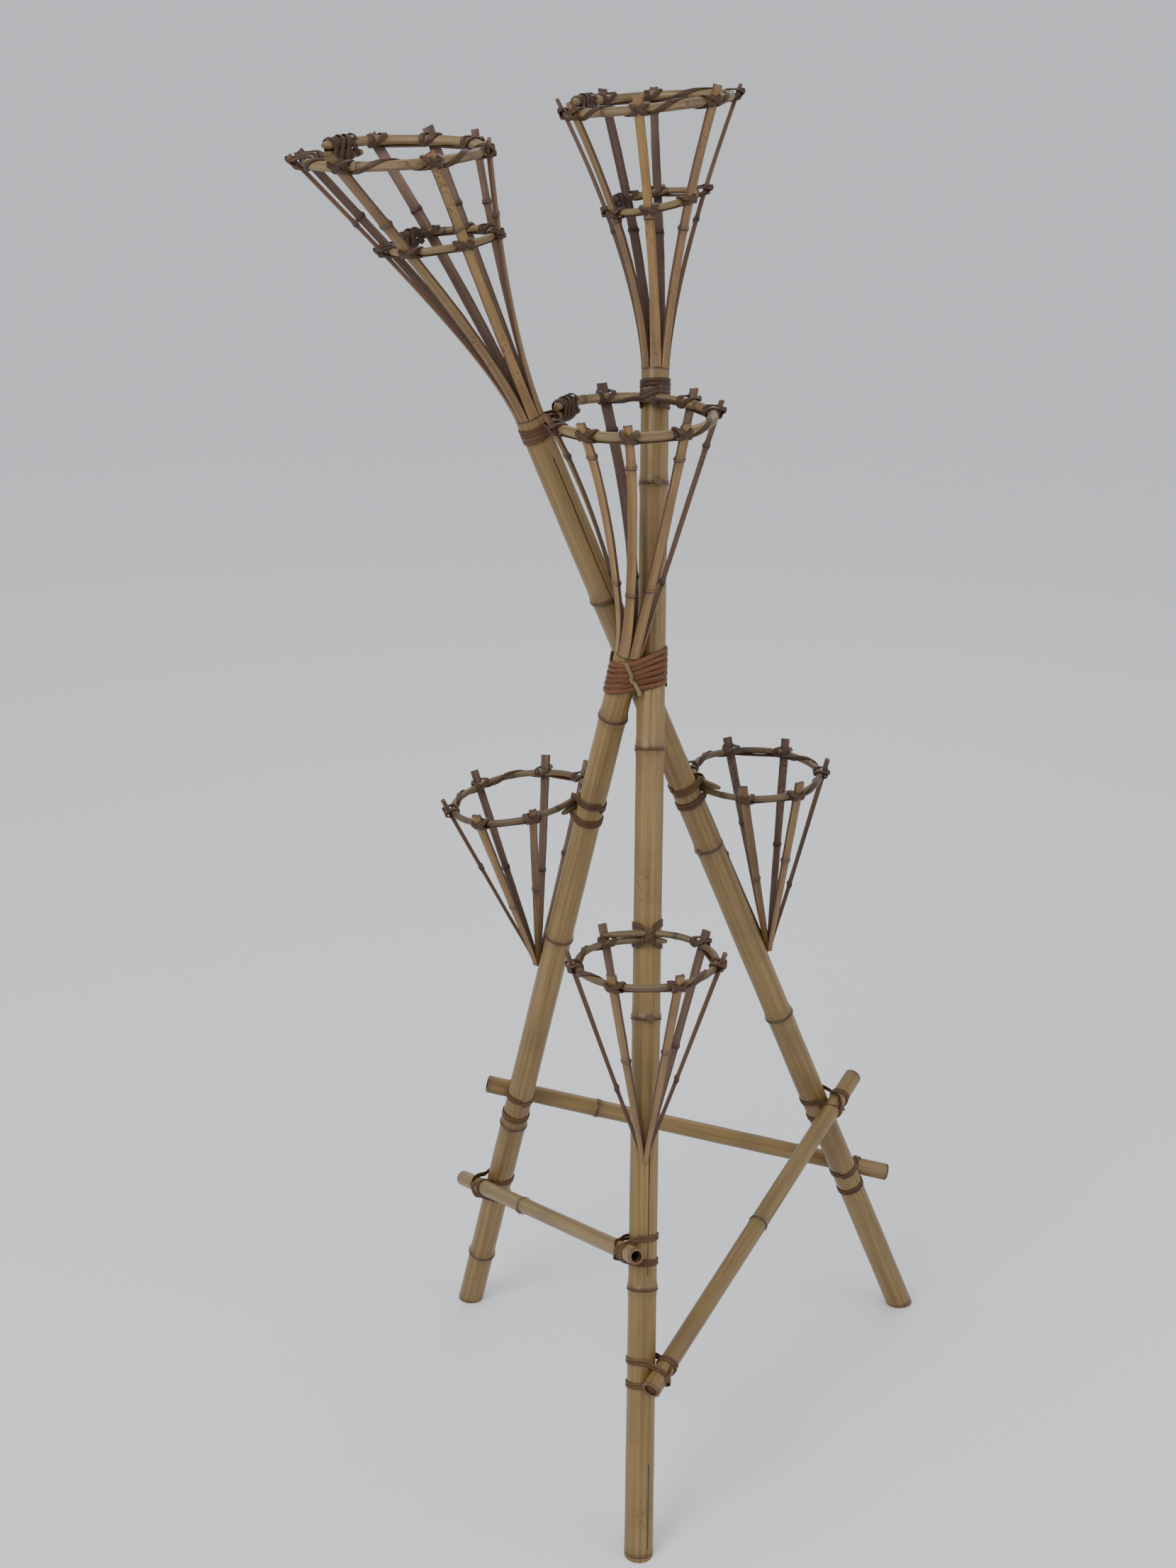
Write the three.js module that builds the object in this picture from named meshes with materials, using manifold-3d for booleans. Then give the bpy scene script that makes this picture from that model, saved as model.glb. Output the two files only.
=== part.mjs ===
// Bamboo tripod pot stand: three crossed culms whose tops are split and spread into basket crowns,
// three cone baskets plugged into the legs, three braces, and cane lashings.
// Millimetres, +Z up. The azimuth of a direction is counted from +X towards +Y, in degrees.
import * as THREE from 'three';
import { mergeVertices } from 'three/addons/utils/BufferGeometryUtils.js';
import Module from 'manifold-3d';

const wasm = await Module();
wasm.setup();

// Driving dimensions: fits
const CLEARANCE = 0.3; // between pieces that touch
const CANE_SLACK = 0.5; // between a lashing and what it ties
const HOOP_SLACK = 2.2; // between a tie and the hoop that curves away under it

// Driving dimensions: culms
const CULM_RADIUS = 16;
const CULM_WALL = 4;
const NODE_RISE = 1.4; // how far a node ring stands out of a culm
const NODE_HALF_LENGTH = 3.5;
const SEPTUM_HALF_THICKNESS = 1.5;
const SEPTUM_HOLE_RADIUS = 2.5; // the pith hole that joins the hollow chambers
const CULM_SIDES = 12;
const FEET = {
  front: { radius: 343, azimuth: -98 },
  left: { radius: 316, azimuth: 146.2 },
  right: { radius: 351.5, azimuth: 27.8 },
};
const CROSSING = new THREE.Vector3(-34, 4.4, 945); // where the front culm passes the main lashing
const RIGHT_CROSSING_ABOVE = 16; // the right culm crosses the front one this much higher
const CULM_NODES = {
  front: [287, 576, 862, 1143],
  left: [82, 300, 587, 890],
  right: [464, 705, 1027],
};
const CULM_SEPTA = { front: [287, 862], left: [300, 890], right: [464, 1027] };

// Driving dimensions: crowns, the split and spread culm tops
const SPREAD_POWER = 1.5; // the slats leave the culm straight and bend outwards
const BEND_SHARES = [-0.03, 0.04, 0.13, 0.28, 0.46, 0.75]; // where a slat bends, in heights of the crown
const KERF_DEGREES = 5; // the saw cut between neighbouring slats
const SLAT_WIDTH = 10;
const SLAT_THICKNESS = 3;
const SLAT_STAND = 17; // how far the slats stand above their hoop
const RIM_TUBE = 5.5;
const WAIST_TUBE = 3.8;
const CROWNS = {
  front: {
    split: 1264,
    rimHeight: 1543,
    drift: [-10, 0],
    rimRadius: 90,
    rimTilt: [4.5, 3],
    lapAzimuth: 146,
    waistHeight: 1440,
    waistTilt: 10,
    waistLap: 146,
    turn: 12,
    azimuths: [5, 86, 121, 172, 208, 261, 314],
  },
  right: {
    split: 1240,
    rimHeight: 1518,
    drift: [-25, 0],
    rimRadius: 90,
    rimTilt: [2, 0],
    lapAzimuth: 134,
    waistHeight: 1429,
    waistTilt: 7,
    waistLap: 134,
    turn: 24,
    azimuths: [34, 70, 106, 163, 190, 240, 297, 352],
  },
  left: {
    split: 972,
    rimHeight: 1234,
    rimRadius: 86.5,
    rimTilt: [0, 0],
    lapAzimuth: 150,
    turn: -15,
    azimuths: [12, 46, 109, 203, 236, 266, 304],
  },
};

// Driving dimensions: the cone baskets on the legs
const BASKET_TUBE = 4;
const BASKET_SLAT = { topWidth: 10, topThickness: 3.6, tipWidth: 3, tipThickness: 2.2 };
const BUNDLE_RADIUS = 4.6; // the ring in which the six tips enter the leg
const SOCKET_RADIUS = 8;
const SOCKET_DEPTH = 22; // how far the tips run straight, from where they gather into the leg
const GATHER_OFFSET = 7; // between the leg's skin and the point where the slats gather
const BASKETS = {
  front: {
    azimuth: -92,
    height: 676,
    socketHeight: 442,
    hoopRadius: 76,
    tilt: [0, 4],
    azimuths: [-145, -80, -25, 25, 80, 130],
  },
  left: {
    azimuth: 146.2,
    height: 758,
    socketHeight: 547,
    hoopRadius: 80,
    tilt: [10, 0],
    azimuths: [-118, -76, -18, 42, 92, 136],
  },
  right: {
    azimuth: 27.8,
    height: 783,
    socketHeight: 561,
    hoopRadius: 75,
    tilt: [0, 0],
    azimuths: [-131, -85, -26, 33, 82, 145],
  },
};

// Driving dimensions: hoops and their cane bindings
const HOOP_STEPS = 24;
const HOOP_LAP_DEGREES = 17; // half the stretch where a hoop's two ends lie on each other
const CANE_WIDTH = 5;
const CANE_THICKNESS = 1.2;
const BINDING_SLACK = 1.4; // between a hoop and the cane wound round it
const SLAT_SLACK = 4; // between a slat and the cane that crosses it
const BINDING_REACH = SLAT_WIDTH / 2 + RIM_TUBE; // from a slat's middle to where the cane has crossed it
const BINDING_PITCH = 76; // hoop length per plain turn of cane

// Driving dimensions: braces
const BRACE_WALL = 3.2;
const BRACE_SIDES = 12;
const BRACES = {
  back: {
    legs: ['left', 'right'],
    heights: [328, 211],
    radius: 10.9,
    overhang: [41, 58],
    nodes: [0.27, 0.78],
  },
  left: {
    legs: ['left', 'front'],
    heights: [198, 328],
    radius: 9.6,
    overhang: [57, 36],
    nodes: [0.39],
  },
  right: {
    legs: ['front', 'right'],
    heights: [197, 327],
    radius: 11,
    overhang: [25, 56],
    nodes: [0.5],
  },
};

// Driving dimensions: lashings
const LASHING_STEPS = 12;
const LASHING_THICKNESS = 2.4;
const BRACE_LASHING_WIDTH = 11;
const TIE_WIDTH = 9;
const COLLAR_WIDTH = 9;
const COLLAR_OFFSETS = { front: 23, right: -24 }; // above the left crown's rim
const MAIN_LASHING_HEIGHT = 40;
const MAIN_LASHING_THICKNESS = 3.6;
const MAIN_LASHING_TILT = 8; // rises towards +X
const MAIN_LASHING_STEPS = 24;
const STRAP_WIDTH = 6;
const STRAP_THICKNESS = 1.6;
const STRAP_SLACK = 1.2; // between the main lashing and its strap
const STRAP_SHIFT = 14; // from between the front and the left culm towards the left one

// Finishes
const BAMBOO = { color: '#b08a4c', roughness: 0.45, metalness: 0 };
const SPLIT_BAMBOO = { color: '#9c7746', roughness: 0.6, metalness: 0 };
const HOOP_CANE = { color: '#8f7a55', roughness: 0.6, metalness: 0 };
const BINDING_CANE = { color: '#5e463a', roughness: 0.5, metalness: 0 };
const LASHING_CANE = { color: '#84492b', roughness: 0.45, metalness: 0 };

const UP = new THREE.Vector3(0, 0, 1);
const RIGHT = new THREE.Vector3(1, 0, 0);
const radians = THREE.MathUtils.degToRad;
const FULL_TURN = 2 * Math.PI;

const stand = new THREE.Group();

function addPiece(name, geometry, finish) {
  const mesh = new THREE.Mesh(geometry, new THREE.MeshStandardMaterial(finish));
  mesh.name = name;
  stand.add(mesh);
}

// Small vector helpers
const between = (a, b, share) => a.clone().lerp(b, share);
const plus = (point, direction, length) => point.clone().addScaledVector(direction, length);
const cross = (a, b) => new THREE.Vector3().crossVectors(a, b);
const from = (a, b) => b.clone().sub(a);

function azimuthVector(degrees) {
  return new THREE.Vector3(Math.cos(radians(degrees)), Math.sin(radians(degrees)), 0);
}

// The upright of a ring that is tilted up towards +X and up towards -Y by two angles.
function tiltedUp(towardsRight, towardsFront = 0) {
  const tilt = new THREE.Vector3(-Math.sin(radians(towardsRight)), Math.sin(radians(towardsFront)), 1);
  return tilt.normalize();
}

// A plane's own axes: first runs to +X as nearly as the plane lets it.
function planeAxes(normal) {
  const first = plus(RIGHT, normal, -RIGHT.dot(normal)).normalize();
  return { first, second: cross(normal, first), normal };
}

function radial(axes, degrees) {
  const angle = radians(degrees);
  return axes.first.clone().multiplyScalar(Math.cos(angle)).addScaledVector(axes.second, Math.sin(angle));
}

// A closed skin over rings of equally many points. Each ring runs anticlockwise as seen against the travel.
function loft(rings, closed = false) {
  const count = rings[0].length;
  const positions = rings.flat().flatMap((p) => [p.x, p.y, p.z]);
  const faces = [];
  const spans = closed ? rings.length : rings.length - 1;
  for (let i = 0; i < spans; i++) {
    const here = i * count;
    const next = ((i + 1) % rings.length) * count;
    for (let j = 0; j < count; j++) {
      const k = (j + 1) % count;
      faces.push(here + j, here + k, next + k, here + j, next + k, next + j);
    }
  }
  const last = (rings.length - 1) * count;
  for (let j = 1; j < count - 1 && !closed; j++) {
    faces.push(0, j + 1, j, last, last + j, last + j + 1);
  }
  const geometry = new THREE.BufferGeometry();
  geometry.setAttribute('position', new THREE.Float32BufferAttribute(positions, 3));
  geometry.setIndex(faces);
  return geometry;
}

// Sweeps a section along points. outwards[i] says where the section's second axis points, and
// section(i) gives its corners as [across, out] pairs, anticlockwise.
function sweep(points, outwards, section) {
  const rings = points.map((point, i) => {
    const before = points[Math.max(i - 1, 0)];
    const after = points[Math.min(i + 1, points.length - 1)];
    const travel = from(before, after).normalize();
    const out = plus(outwards[i], travel, -outwards[i].dot(travel)).normalize();
    const across = cross(out, travel);
    return section(i).map(([x, y]) => plus(plus(point, across, x), out, y));
  });
  return loft(rings);
}

function stripSection(width, thickness) {
  const w = width / 2;
  const t = thickness / 2;
  return [[-w, -t], [w, -t], [w, t], [-w, t]];
}

function roundSection(radius, sides) {
  return Array.from({ length: sides }, (_, i) => {
    const angle = (i * FULL_TURN) / sides;
    return [radius * Math.cos(angle), radius * Math.sin(angle)];
  });
}

// Joins and cuts
function toSolid(geometry) {
  const plain = geometry.clone();
  plain.deleteAttribute('normal');
  plain.deleteAttribute('uv');
  const merged = mergeVertices(plain, 1e-3);
  return new wasm.Manifold(new wasm.Mesh({
    numProp: 3,
    vertProperties: new Float32Array(merged.attributes.position.array),
    triVerts: new Uint32Array(merged.index.array),
  }));
}

function toGeometry(solid) {
  const mesh = solid.getMesh();
  const geometry = new THREE.BufferGeometry();
  geometry.setAttribute('position', new THREE.BufferAttribute(mesh.vertProperties, 3));
  geometry.setIndex(new THREE.BufferAttribute(mesh.triVerts, 1));
  return geometry;
}

const joined = (solids) => solids.reduce((whole, solid) => whole.add(solid));

// A straight pole that stands on the ground at foot and leans through a point.
class Leg {
  constructor(foot, through) {
    this.foot = foot;
    this.direction = from(foot, through).normalize();
  }

  at(height) {
    return plus(this.foot, this.direction, (height - this.foot.z) / this.direction.z);
  }

  rod() {
    return { point: this.foot, direction: this.direction, radius: CULM_RADIUS };
  }
}

function footPoint({ radius, azimuth }) {
  return azimuthVector(azimuth).multiplyScalar(radius);
}

// The leg from a foot that rests against the host culm where the host is at a height.
function legAgainst(host, foot, height) {
  const pitch = 2 * CULM_RADIUS + CLEARANCE;
  const contact = host.at(height);
  let leg = new Leg(foot, contact);
  for (let i = 0; i < 8; i++) {
    const apart = cross(host.direction, leg.direction).normalize();
    leg = new Leg(foot, plus(contact, apart, -pitch));
  }
  return leg;
}

const frontLeg = new Leg(footPoint(FEET.front), CROSSING);
const LEGS = {
  front: frontLeg,
  left: legAgainst(frontLeg, footPoint(FEET.left), CROSSING.z),
  right: legAgainst(frontLeg, footPoint(FEET.right), CROSSING.z + RIGHT_CROSSING_ABOVE),
};

// A round hollow culm along +Y from start to end, with node rings outside and septa inside.
function culmGeometry(start, end, radius, wall, nodes, septa, sides) {
  const inner = radius - wall;
  const profile = [[inner, start], [radius, start]];
  for (const y of nodes) {
    profile.push([radius, y - NODE_HALF_LENGTH], [radius + NODE_RISE, y], [radius, y + NODE_HALF_LENGTH]);
  }
  profile.push([radius, end], [inner, end]);
  for (const y of [...septa].reverse()) {
    const top = y + SEPTUM_HALF_THICKNESS;
    const bottom = y - SEPTUM_HALF_THICKNESS;
    profile.push([inner, top], [SEPTUM_HOLE_RADIUS, top], [SEPTUM_HOLE_RADIUS, bottom], [inner, bottom]);
  }
  profile.push([inner, start]);
  return new THREE.LatheGeometry(profile.map(([x, y]) => new THREE.Vector2(x, y)), sides);
}

function alongAxis(geometry, origin, direction) {
  const turn = new THREE.Quaternion().setFromUnitVectors(new THREE.Vector3(0, 1, 0), direction);
  return geometry.applyQuaternion(turn).translate(origin.x, origin.y, origin.z);
}

// A crown: a leg's top, split into slats that bend outwards to a rim hoop.
class Crown {
  constructor(leg, size, rimCentre) {
    this.leg = leg;
    this.size = size;
    this.rimCentre = rimCentre;
    this.rimUp = tiltedUp(...size.rimTilt);
    this.root = leg.at(size.split);
    this.count = size.azimuths.length;
    this.wallMiddle = CULM_RADIUS - CULM_WALL / 2;
    this.straight = from(this.root, leg.at(size.rimHeight));
    this.drift = from(leg.at(size.rimHeight), rimCentre);
    this.rimAxes = planeAxes(this.rimUp);
    this.waistShare = size.waistHeight ? (size.waistHeight - size.split) / this.straight.z : BEND_SHARES[5];
    this.rimDistances = size.azimuths.map((azimuth) => this.rimDistance(azimuth));
  }

  centre(share) {
    return plus(plus(this.root, this.straight, share), this.drift, spread(share));
  }

  // How far outside the rim's centre a slat stands, so that its inner face just clears the hoop.
  rimDistance(azimuth) {
    const out = radial(this.rimAxes, azimuth);
    const { rimRadius, lapAzimuth } = this.size;
    const nominal = rimRadius + RIM_TUBE;
    const growth = SPREAD_POWER * (nominal - this.wallMiddle);
    const travel = this.straight.clone().addScaledVector(this.drift, SPREAD_POWER);
    const slope = (growth + travel.dot(out)) / travel.dot(this.rimUp);
    const hoop = new Hoop(this.rimCentre, this.rimAxes, rimRadius, RIM_TUBE, lapAzimuth, SLAT_THICKNESS, []);
    return hoop.slatDistance(azimuth, slope);
  }

  rootAzimuth(index) {
    return this.size.turn + (index * 360) / this.count;
  }

  axes(share) {
    return planeAxes(between(this.leg.direction, this.rimUp, THREE.MathUtils.clamp(share, 0, 1)).normalize());
  }

  outward(index, share) {
    const settled = 1 - (1 - THREE.MathUtils.clamp(share, 0, 1)) ** 2;
    const azimuth = THREE.MathUtils.lerp(this.rootAzimuth(index), this.size.azimuths[index], settled);
    return radial(this.axes(share), azimuth);
  }

  slatPoint(index, share) {
    const distance = this.wallMiddle + (this.rimDistances[index] - this.wallMiddle) * spread(share);
    return plus(this.centre(share), this.outward(index, share), distance);
  }

  slatSolid(index) {
    const shares = [...BEND_SHARES.slice(0, 5), this.waistShare, 1, 1 + SLAT_STAND / this.straight.z];
    const half = radians(180 / this.count - KERF_DEGREES / 2);
    const rootWidth = 2 * CULM_RADIUS * Math.sin(half);
    const rootBow = CULM_RADIUS * (1 - Math.cos(half));
    const rootInset = (CULM_RADIUS - CULM_WALL) / CULM_RADIUS;
    const section = (i) => {
      const share = THREE.MathUtils.clamp(shares[i] / 0.3, 0, 1);
      const w = THREE.MathUtils.lerp(rootWidth, SLAT_WIDTH, share) / 2;
      const t = THREE.MathUtils.lerp(CULM_WALL, SLAT_THICKNESS, share) / 2;
      const bow = THREE.MathUtils.lerp(rootBow, 0, share);
      const inset = THREE.MathUtils.lerp(rootInset, 0.95, share);
      return [[0, t], [-w, t - bow], [-w * inset, -t - bow], [0, -t], [w * inset, -t - bow], [w, t - bow]];
    };
    const points = shares.map((share) => this.slatPoint(index, share));
    const outwards = shares.map((share) => this.outward(index, share));
    return toSolid(sweep(points, outwards, section));
  }

  // Where a slat passes a plane, and how steeply it leans outwards there.
  slatInPlane(index, centre, axes) {
    let low = 0;
    let high = 1;
    for (let i = 0; i < 40; i++) {
      const middle = (low + high) / 2;
      const above = from(centre, this.slatPoint(index, middle)).dot(axes.normal) > 0;
      [low, high] = above ? [low, middle] : [middle, high];
    }
    const offset = from(centre, this.slatPoint(index, low));
    const travel = from(this.slatPoint(index, low), this.slatPoint(index, low + 0.01));
    const distance = offset.length();
    const slope = travel.dot(offset) / distance / travel.dot(axes.normal);
    const azimuth = THREE.MathUtils.radToDeg(Math.atan2(offset.dot(axes.second), offset.dot(axes.first)));
    return { distance, slope, azimuth: (azimuth + 360) % 360 };
  }

  rim() {
    const { azimuths, rimRadius, lapAzimuth } = this.size;
    const slats = azimuths.map((azimuth, i) => this.slatInPlane(i, this.rimCentre, this.rimAxes));
    return new Hoop(this.rimCentre, this.rimAxes, rimRadius, RIM_TUBE, lapAzimuth, SLAT_THICKNESS, slats);
  }

  waist() {
    const { waistTilt, waistLap } = this.size;
    const axes = planeAxes(tiltedUp(waistTilt));
    const centre = this.centre(this.waistShare);
    const slats = this.size.azimuths.map((azimuth, i) => this.slatInPlane(i, centre, axes));
    const hoopOf = (radius) => new Hoop(centre, axes, radius, WAIST_TUBE, waistLap, SLAT_THICKNESS, slats);
    const room = slats.map((slat) => slat.distance - hoopOf(0).slatDistance(slat.azimuth, slat.slope));
    return hoopOf(Math.min(...room));
  }
}

function spread(share) {
  return Math.max(share, 0) ** SPREAD_POWER;
}

// A hoop: one turn and a lap of round cane, as a flat helix, with a cane binding wound round it.
class Hoop {
  constructor(centre, axes, radius, tube, lapAzimuth, slatThickness, slats) {
    Object.assign(this, { centre, axes, radius, tube, lapAzimuth, slatThickness, slats });
    this.pitch = 2 * tube + CLEARANCE;
  }

  // The rise of the helix where it passes an azimuth counted on from the lap.
  rise(azimuth) {
    return this.pitch * ((azimuth - this.lapAzimuth) / 360 - 0.5);
  }

  // A point of the hoop's own skin frame: out from the tube's middle and up from it.
  point(azimuth, out = 0, up = 0) {
    const ring = plus(this.centre, radial(this.axes, azimuth), this.radius + out);
    return plus(ring, this.axes.normal, this.rise(azimuth) + up);
  }

  // From the hoop's centre to the middle of a slat that leans on it, measured in the hoop's plane.
  slatDistance(azimuth, slope) {
    const standoff = (this.tube + CLEARANCE + this.slatThickness / 2) * Math.hypot(1, slope);
    return this.radius + standoff - slope * this.rise(this.onHelix(azimuth));
  }

  geometry() {
    const start = this.lapAzimuth - HOOP_LAP_DEGREES;
    const sweepDegrees = 360 + 2 * HOOP_LAP_DEGREES;
    const step = sweepDegrees / HOOP_STEPS;
    const azimuths = Array.from({ length: HOOP_STEPS + 1 }, (_, i) => start + i * step);
    const points = azimuths.map((azimuth) => this.point(azimuth));
    const outwards = azimuths.map((azimuth) => radial(this.axes, azimuth));
    return sweep(points, outwards, () => roundSection(this.tube, 6));
  }

  // The binding crosses each slat on the outside and winds squarely round the hoop between slats. Between
  // two slats that have a culm against the hoop, it runs straight along the inside.
  bindingGeometry(bare = []) {
    const around = this.tube + BINDING_SLACK + CANE_THICKNESS / 2;
    const reach = THREE.MathUtils.radToDeg(BINDING_REACH / this.radius);
    const slats = this.slats.map((slat) => ({ ...slat, azimuth: this.onHelix(slat.azimuth) }));
    slats.sort((a, b) => a.azimuth - b.azimuth);
    const points = [];
    const outwards = [];
    const add = (azimuth, out, up, tilt = Math.sign(up)) => {
      points.push(this.point(azimuth, out, up));
      const outward = radial(this.axes, azimuth).multiplyScalar(Math.sign(out));
      outwards.push(outward.addScaledVector(this.axes.normal, tilt));
    };
    const corners = [[-around, around], [-around, -around], [around, -around], [around, around]];
    slats.forEach(({ azimuth, distance, slope }, i) => {
      const skin = (this.slatThickness / 2 + SLAT_SLACK + CANE_THICKNESS / 2) * Math.hypot(1, slope);
      const out = distance - this.radius + slope * this.rise(azimuth) + skin;
      add(azimuth - reach, out - around * slope, -around, 0);
      add(azimuth + reach, out + around * slope, around, 0);
      if (i === slats.length - 1) return;
      const first = azimuth + reach;
      const last = slats[i + 1].azimuth - reach;
      const culm = bare.map((at) => this.onHelix(at)).find((at) => first < at && at < last);
      if (culm !== undefined) {
        const [before, after] = [culm - 2 * reach, culm + 2 * reach];
        add((first + before) / 2, -around, around);
        add(before, -around, 0);
        add(after, -around, 0);
        add((after + last) / 2, -around, -around);
        return;
      }
      const turns = Math.round((radians(last - first) * this.radius) / BINDING_PITCH);
      const stops = turns * corners.length + 2;
      for (let stop = 1; stop <= stops; stop++) {
        const [cornerOut, cornerUp] = corners[(stop - 1) % corners.length];
        add(THREE.MathUtils.lerp(first, last, stop / (stops + 1)), cornerOut, cornerUp);
      }
    });
    return sweep(points, outwards, () => stripSection(CANE_WIDTH, CANE_THICKNESS));
  }

  // An azimuth counted on from the middle of the lap, where the helix begins.
  onHelix(azimuth) {
    return ((azimuth - this.lapAzimuth + 720) % 360) + this.lapAzimuth;
  }

  // The hoop near an azimuth as straight rods: one, or both ends where they lap.
  rods(azimuth) {
    const tangent = radial(this.axes, azimuth + 90);
    const rod = (at) => ({ point: this.point(at), direction: tangent, radius: this.tube });
    const lapped = Math.abs(((azimuth - this.lapAzimuth + 540) % 360) - 180) < HOOP_LAP_DEGREES;
    return lapped ? [rod(this.lapAzimuth), rod(this.lapAzimuth + 360)] : [rod(this.onHelix(azimuth))];
  }
}

// How far the rods' sections by a plane reach in a direction of that plane.
function reachOf(rods, origin, axes, direction) {
  const reaches = rods.map(({ point, direction: d, radius }) => {
    const along = from(point, origin).dot(axes.normal) / d.dot(axes.normal);
    const centre = from(origin, plus(point, d, along));
    const x = direction.dot(axes.first);
    const y = direction.dot(axes.second);
    const dx = d.dot(axes.first);
    const dy = d.dot(axes.second);
    const stretch = (1 - dy * dy) * x * x + 2 * dx * dy * x * y + (1 - dx * dx) * y * y;
    const half = Math.sqrt(stretch) / Math.abs(d.dot(axes.normal));
    return (extra) => centre.dot(direction) + half * (radius + extra);
  });
  return (extra) => Math.max(...reaches.map((reach) => reach(extra)));
}

// A flat band of cane wound tightly round rods, in planes square to normal.
function bandGeometry(rods, centre, normal, width, thickness, levels = 2, steps = LASHING_STEPS) {
  const axes = planeAxes(normal);
  const step = FULL_TURN / steps;
  const outline = (offset, extra) => {
    const origin = plus(centre, normal, offset);
    const supports = Array.from({ length: steps + 1 }, (_, i) => {
      const direction = radial(axes, (i * 360) / steps);
      return reachOf(rods, origin, axes, direction)(extra);
    });
    return supports.slice(0, steps).map((here, i) => {
      const next = supports[i + 1];
      const x = (here * Math.sin((i + 1) * step) - next * Math.sin(i * step)) / Math.sin(step);
      const y = (next * Math.cos(i * step) - here * Math.cos((i + 1) * step)) / Math.sin(step);
      return plus(plus(origin, axes.first, x), axes.second, y);
    });
  };
  const offsets = Array.from({ length: levels }, (_, i) => width * (i / (levels - 1) - 0.5));
  const inner = offsets.map((offset) => outline(offset, CANE_SLACK));
  const outer = offsets.map((offset) => outline(offset, CANE_SLACK + thickness)).reverse();
  const rings = Array.from({ length: steps }, (_, i) => [...inner, ...outer].map((ring) => ring[i]));
  return loft(rings, true);
}

// Two crossing turns that tie rods together where they meet.
function crossTie(rods, centre, along, across, width, thickness) {
  return [1, -1].map((side) => {
    const normal = plus(along, across, side).normalize();
    return toSolid(bandGeometry(rods, centre, normal, width, thickness));
  });
}

// Crowns and culms
function makeCrowns() {
  const towards = (leg, size) => {
    const [x, y] = size.drift;
    return leg.at(size.rimHeight).add(new THREE.Vector3(x, y, 0));
  };
  return {
    front: new Crown(LEGS.front, CROWNS.front, towards(LEGS.front, CROWNS.front)),
    right: new Crown(LEGS.right, CROWNS.right, towards(LEGS.right, CROWNS.right)),
    left: new Crown(LEGS.left, CROWNS.left, rimAgainstCulms(CROWNS.left)),
  };
}

// The centre of the left crown's rim, which rests against the front and the right culm.
function rimAgainstCulms({ rimHeight, rimRadius, rimTilt, lapAzimuth }) {
  const axes = planeAxes(tiltedUp(...rimTilt));
  let centre = LEGS.left.at(rimHeight);
  for (let i = 0; i < 40; i++) {
    for (const leg of [LEGS.front, LEGS.right]) {
      const hoop = new Hoop(centre, axes, rimRadius, RIM_TUBE, lapAzimuth, SLAT_THICKNESS, []);
      const azimuth = contactAzimuth(hoop, leg);
      const out = azimuthVector(azimuth + 180);
      centre = plus(centre, out, clearingShift(hoop.rods(azimuth), leg, out));
    }
  }
  return centre;
}

// How far a hoop's rods must move along out to rest against a leg.
function clearingShift(rods, leg, out) {
  const shifts = rods.map(({ point, direction, radius }) => {
    const normal = cross(direction, leg.direction).normalize();
    normal.multiplyScalar(Math.sign(normal.dot(out)));
    const gap = from(leg.foot, point).dot(normal);
    return (CULM_RADIUS + radius + CLEARANCE - gap) / normal.dot(out);
  });
  return Math.max(...shifts);
}

const crowns = makeCrowns();

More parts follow.
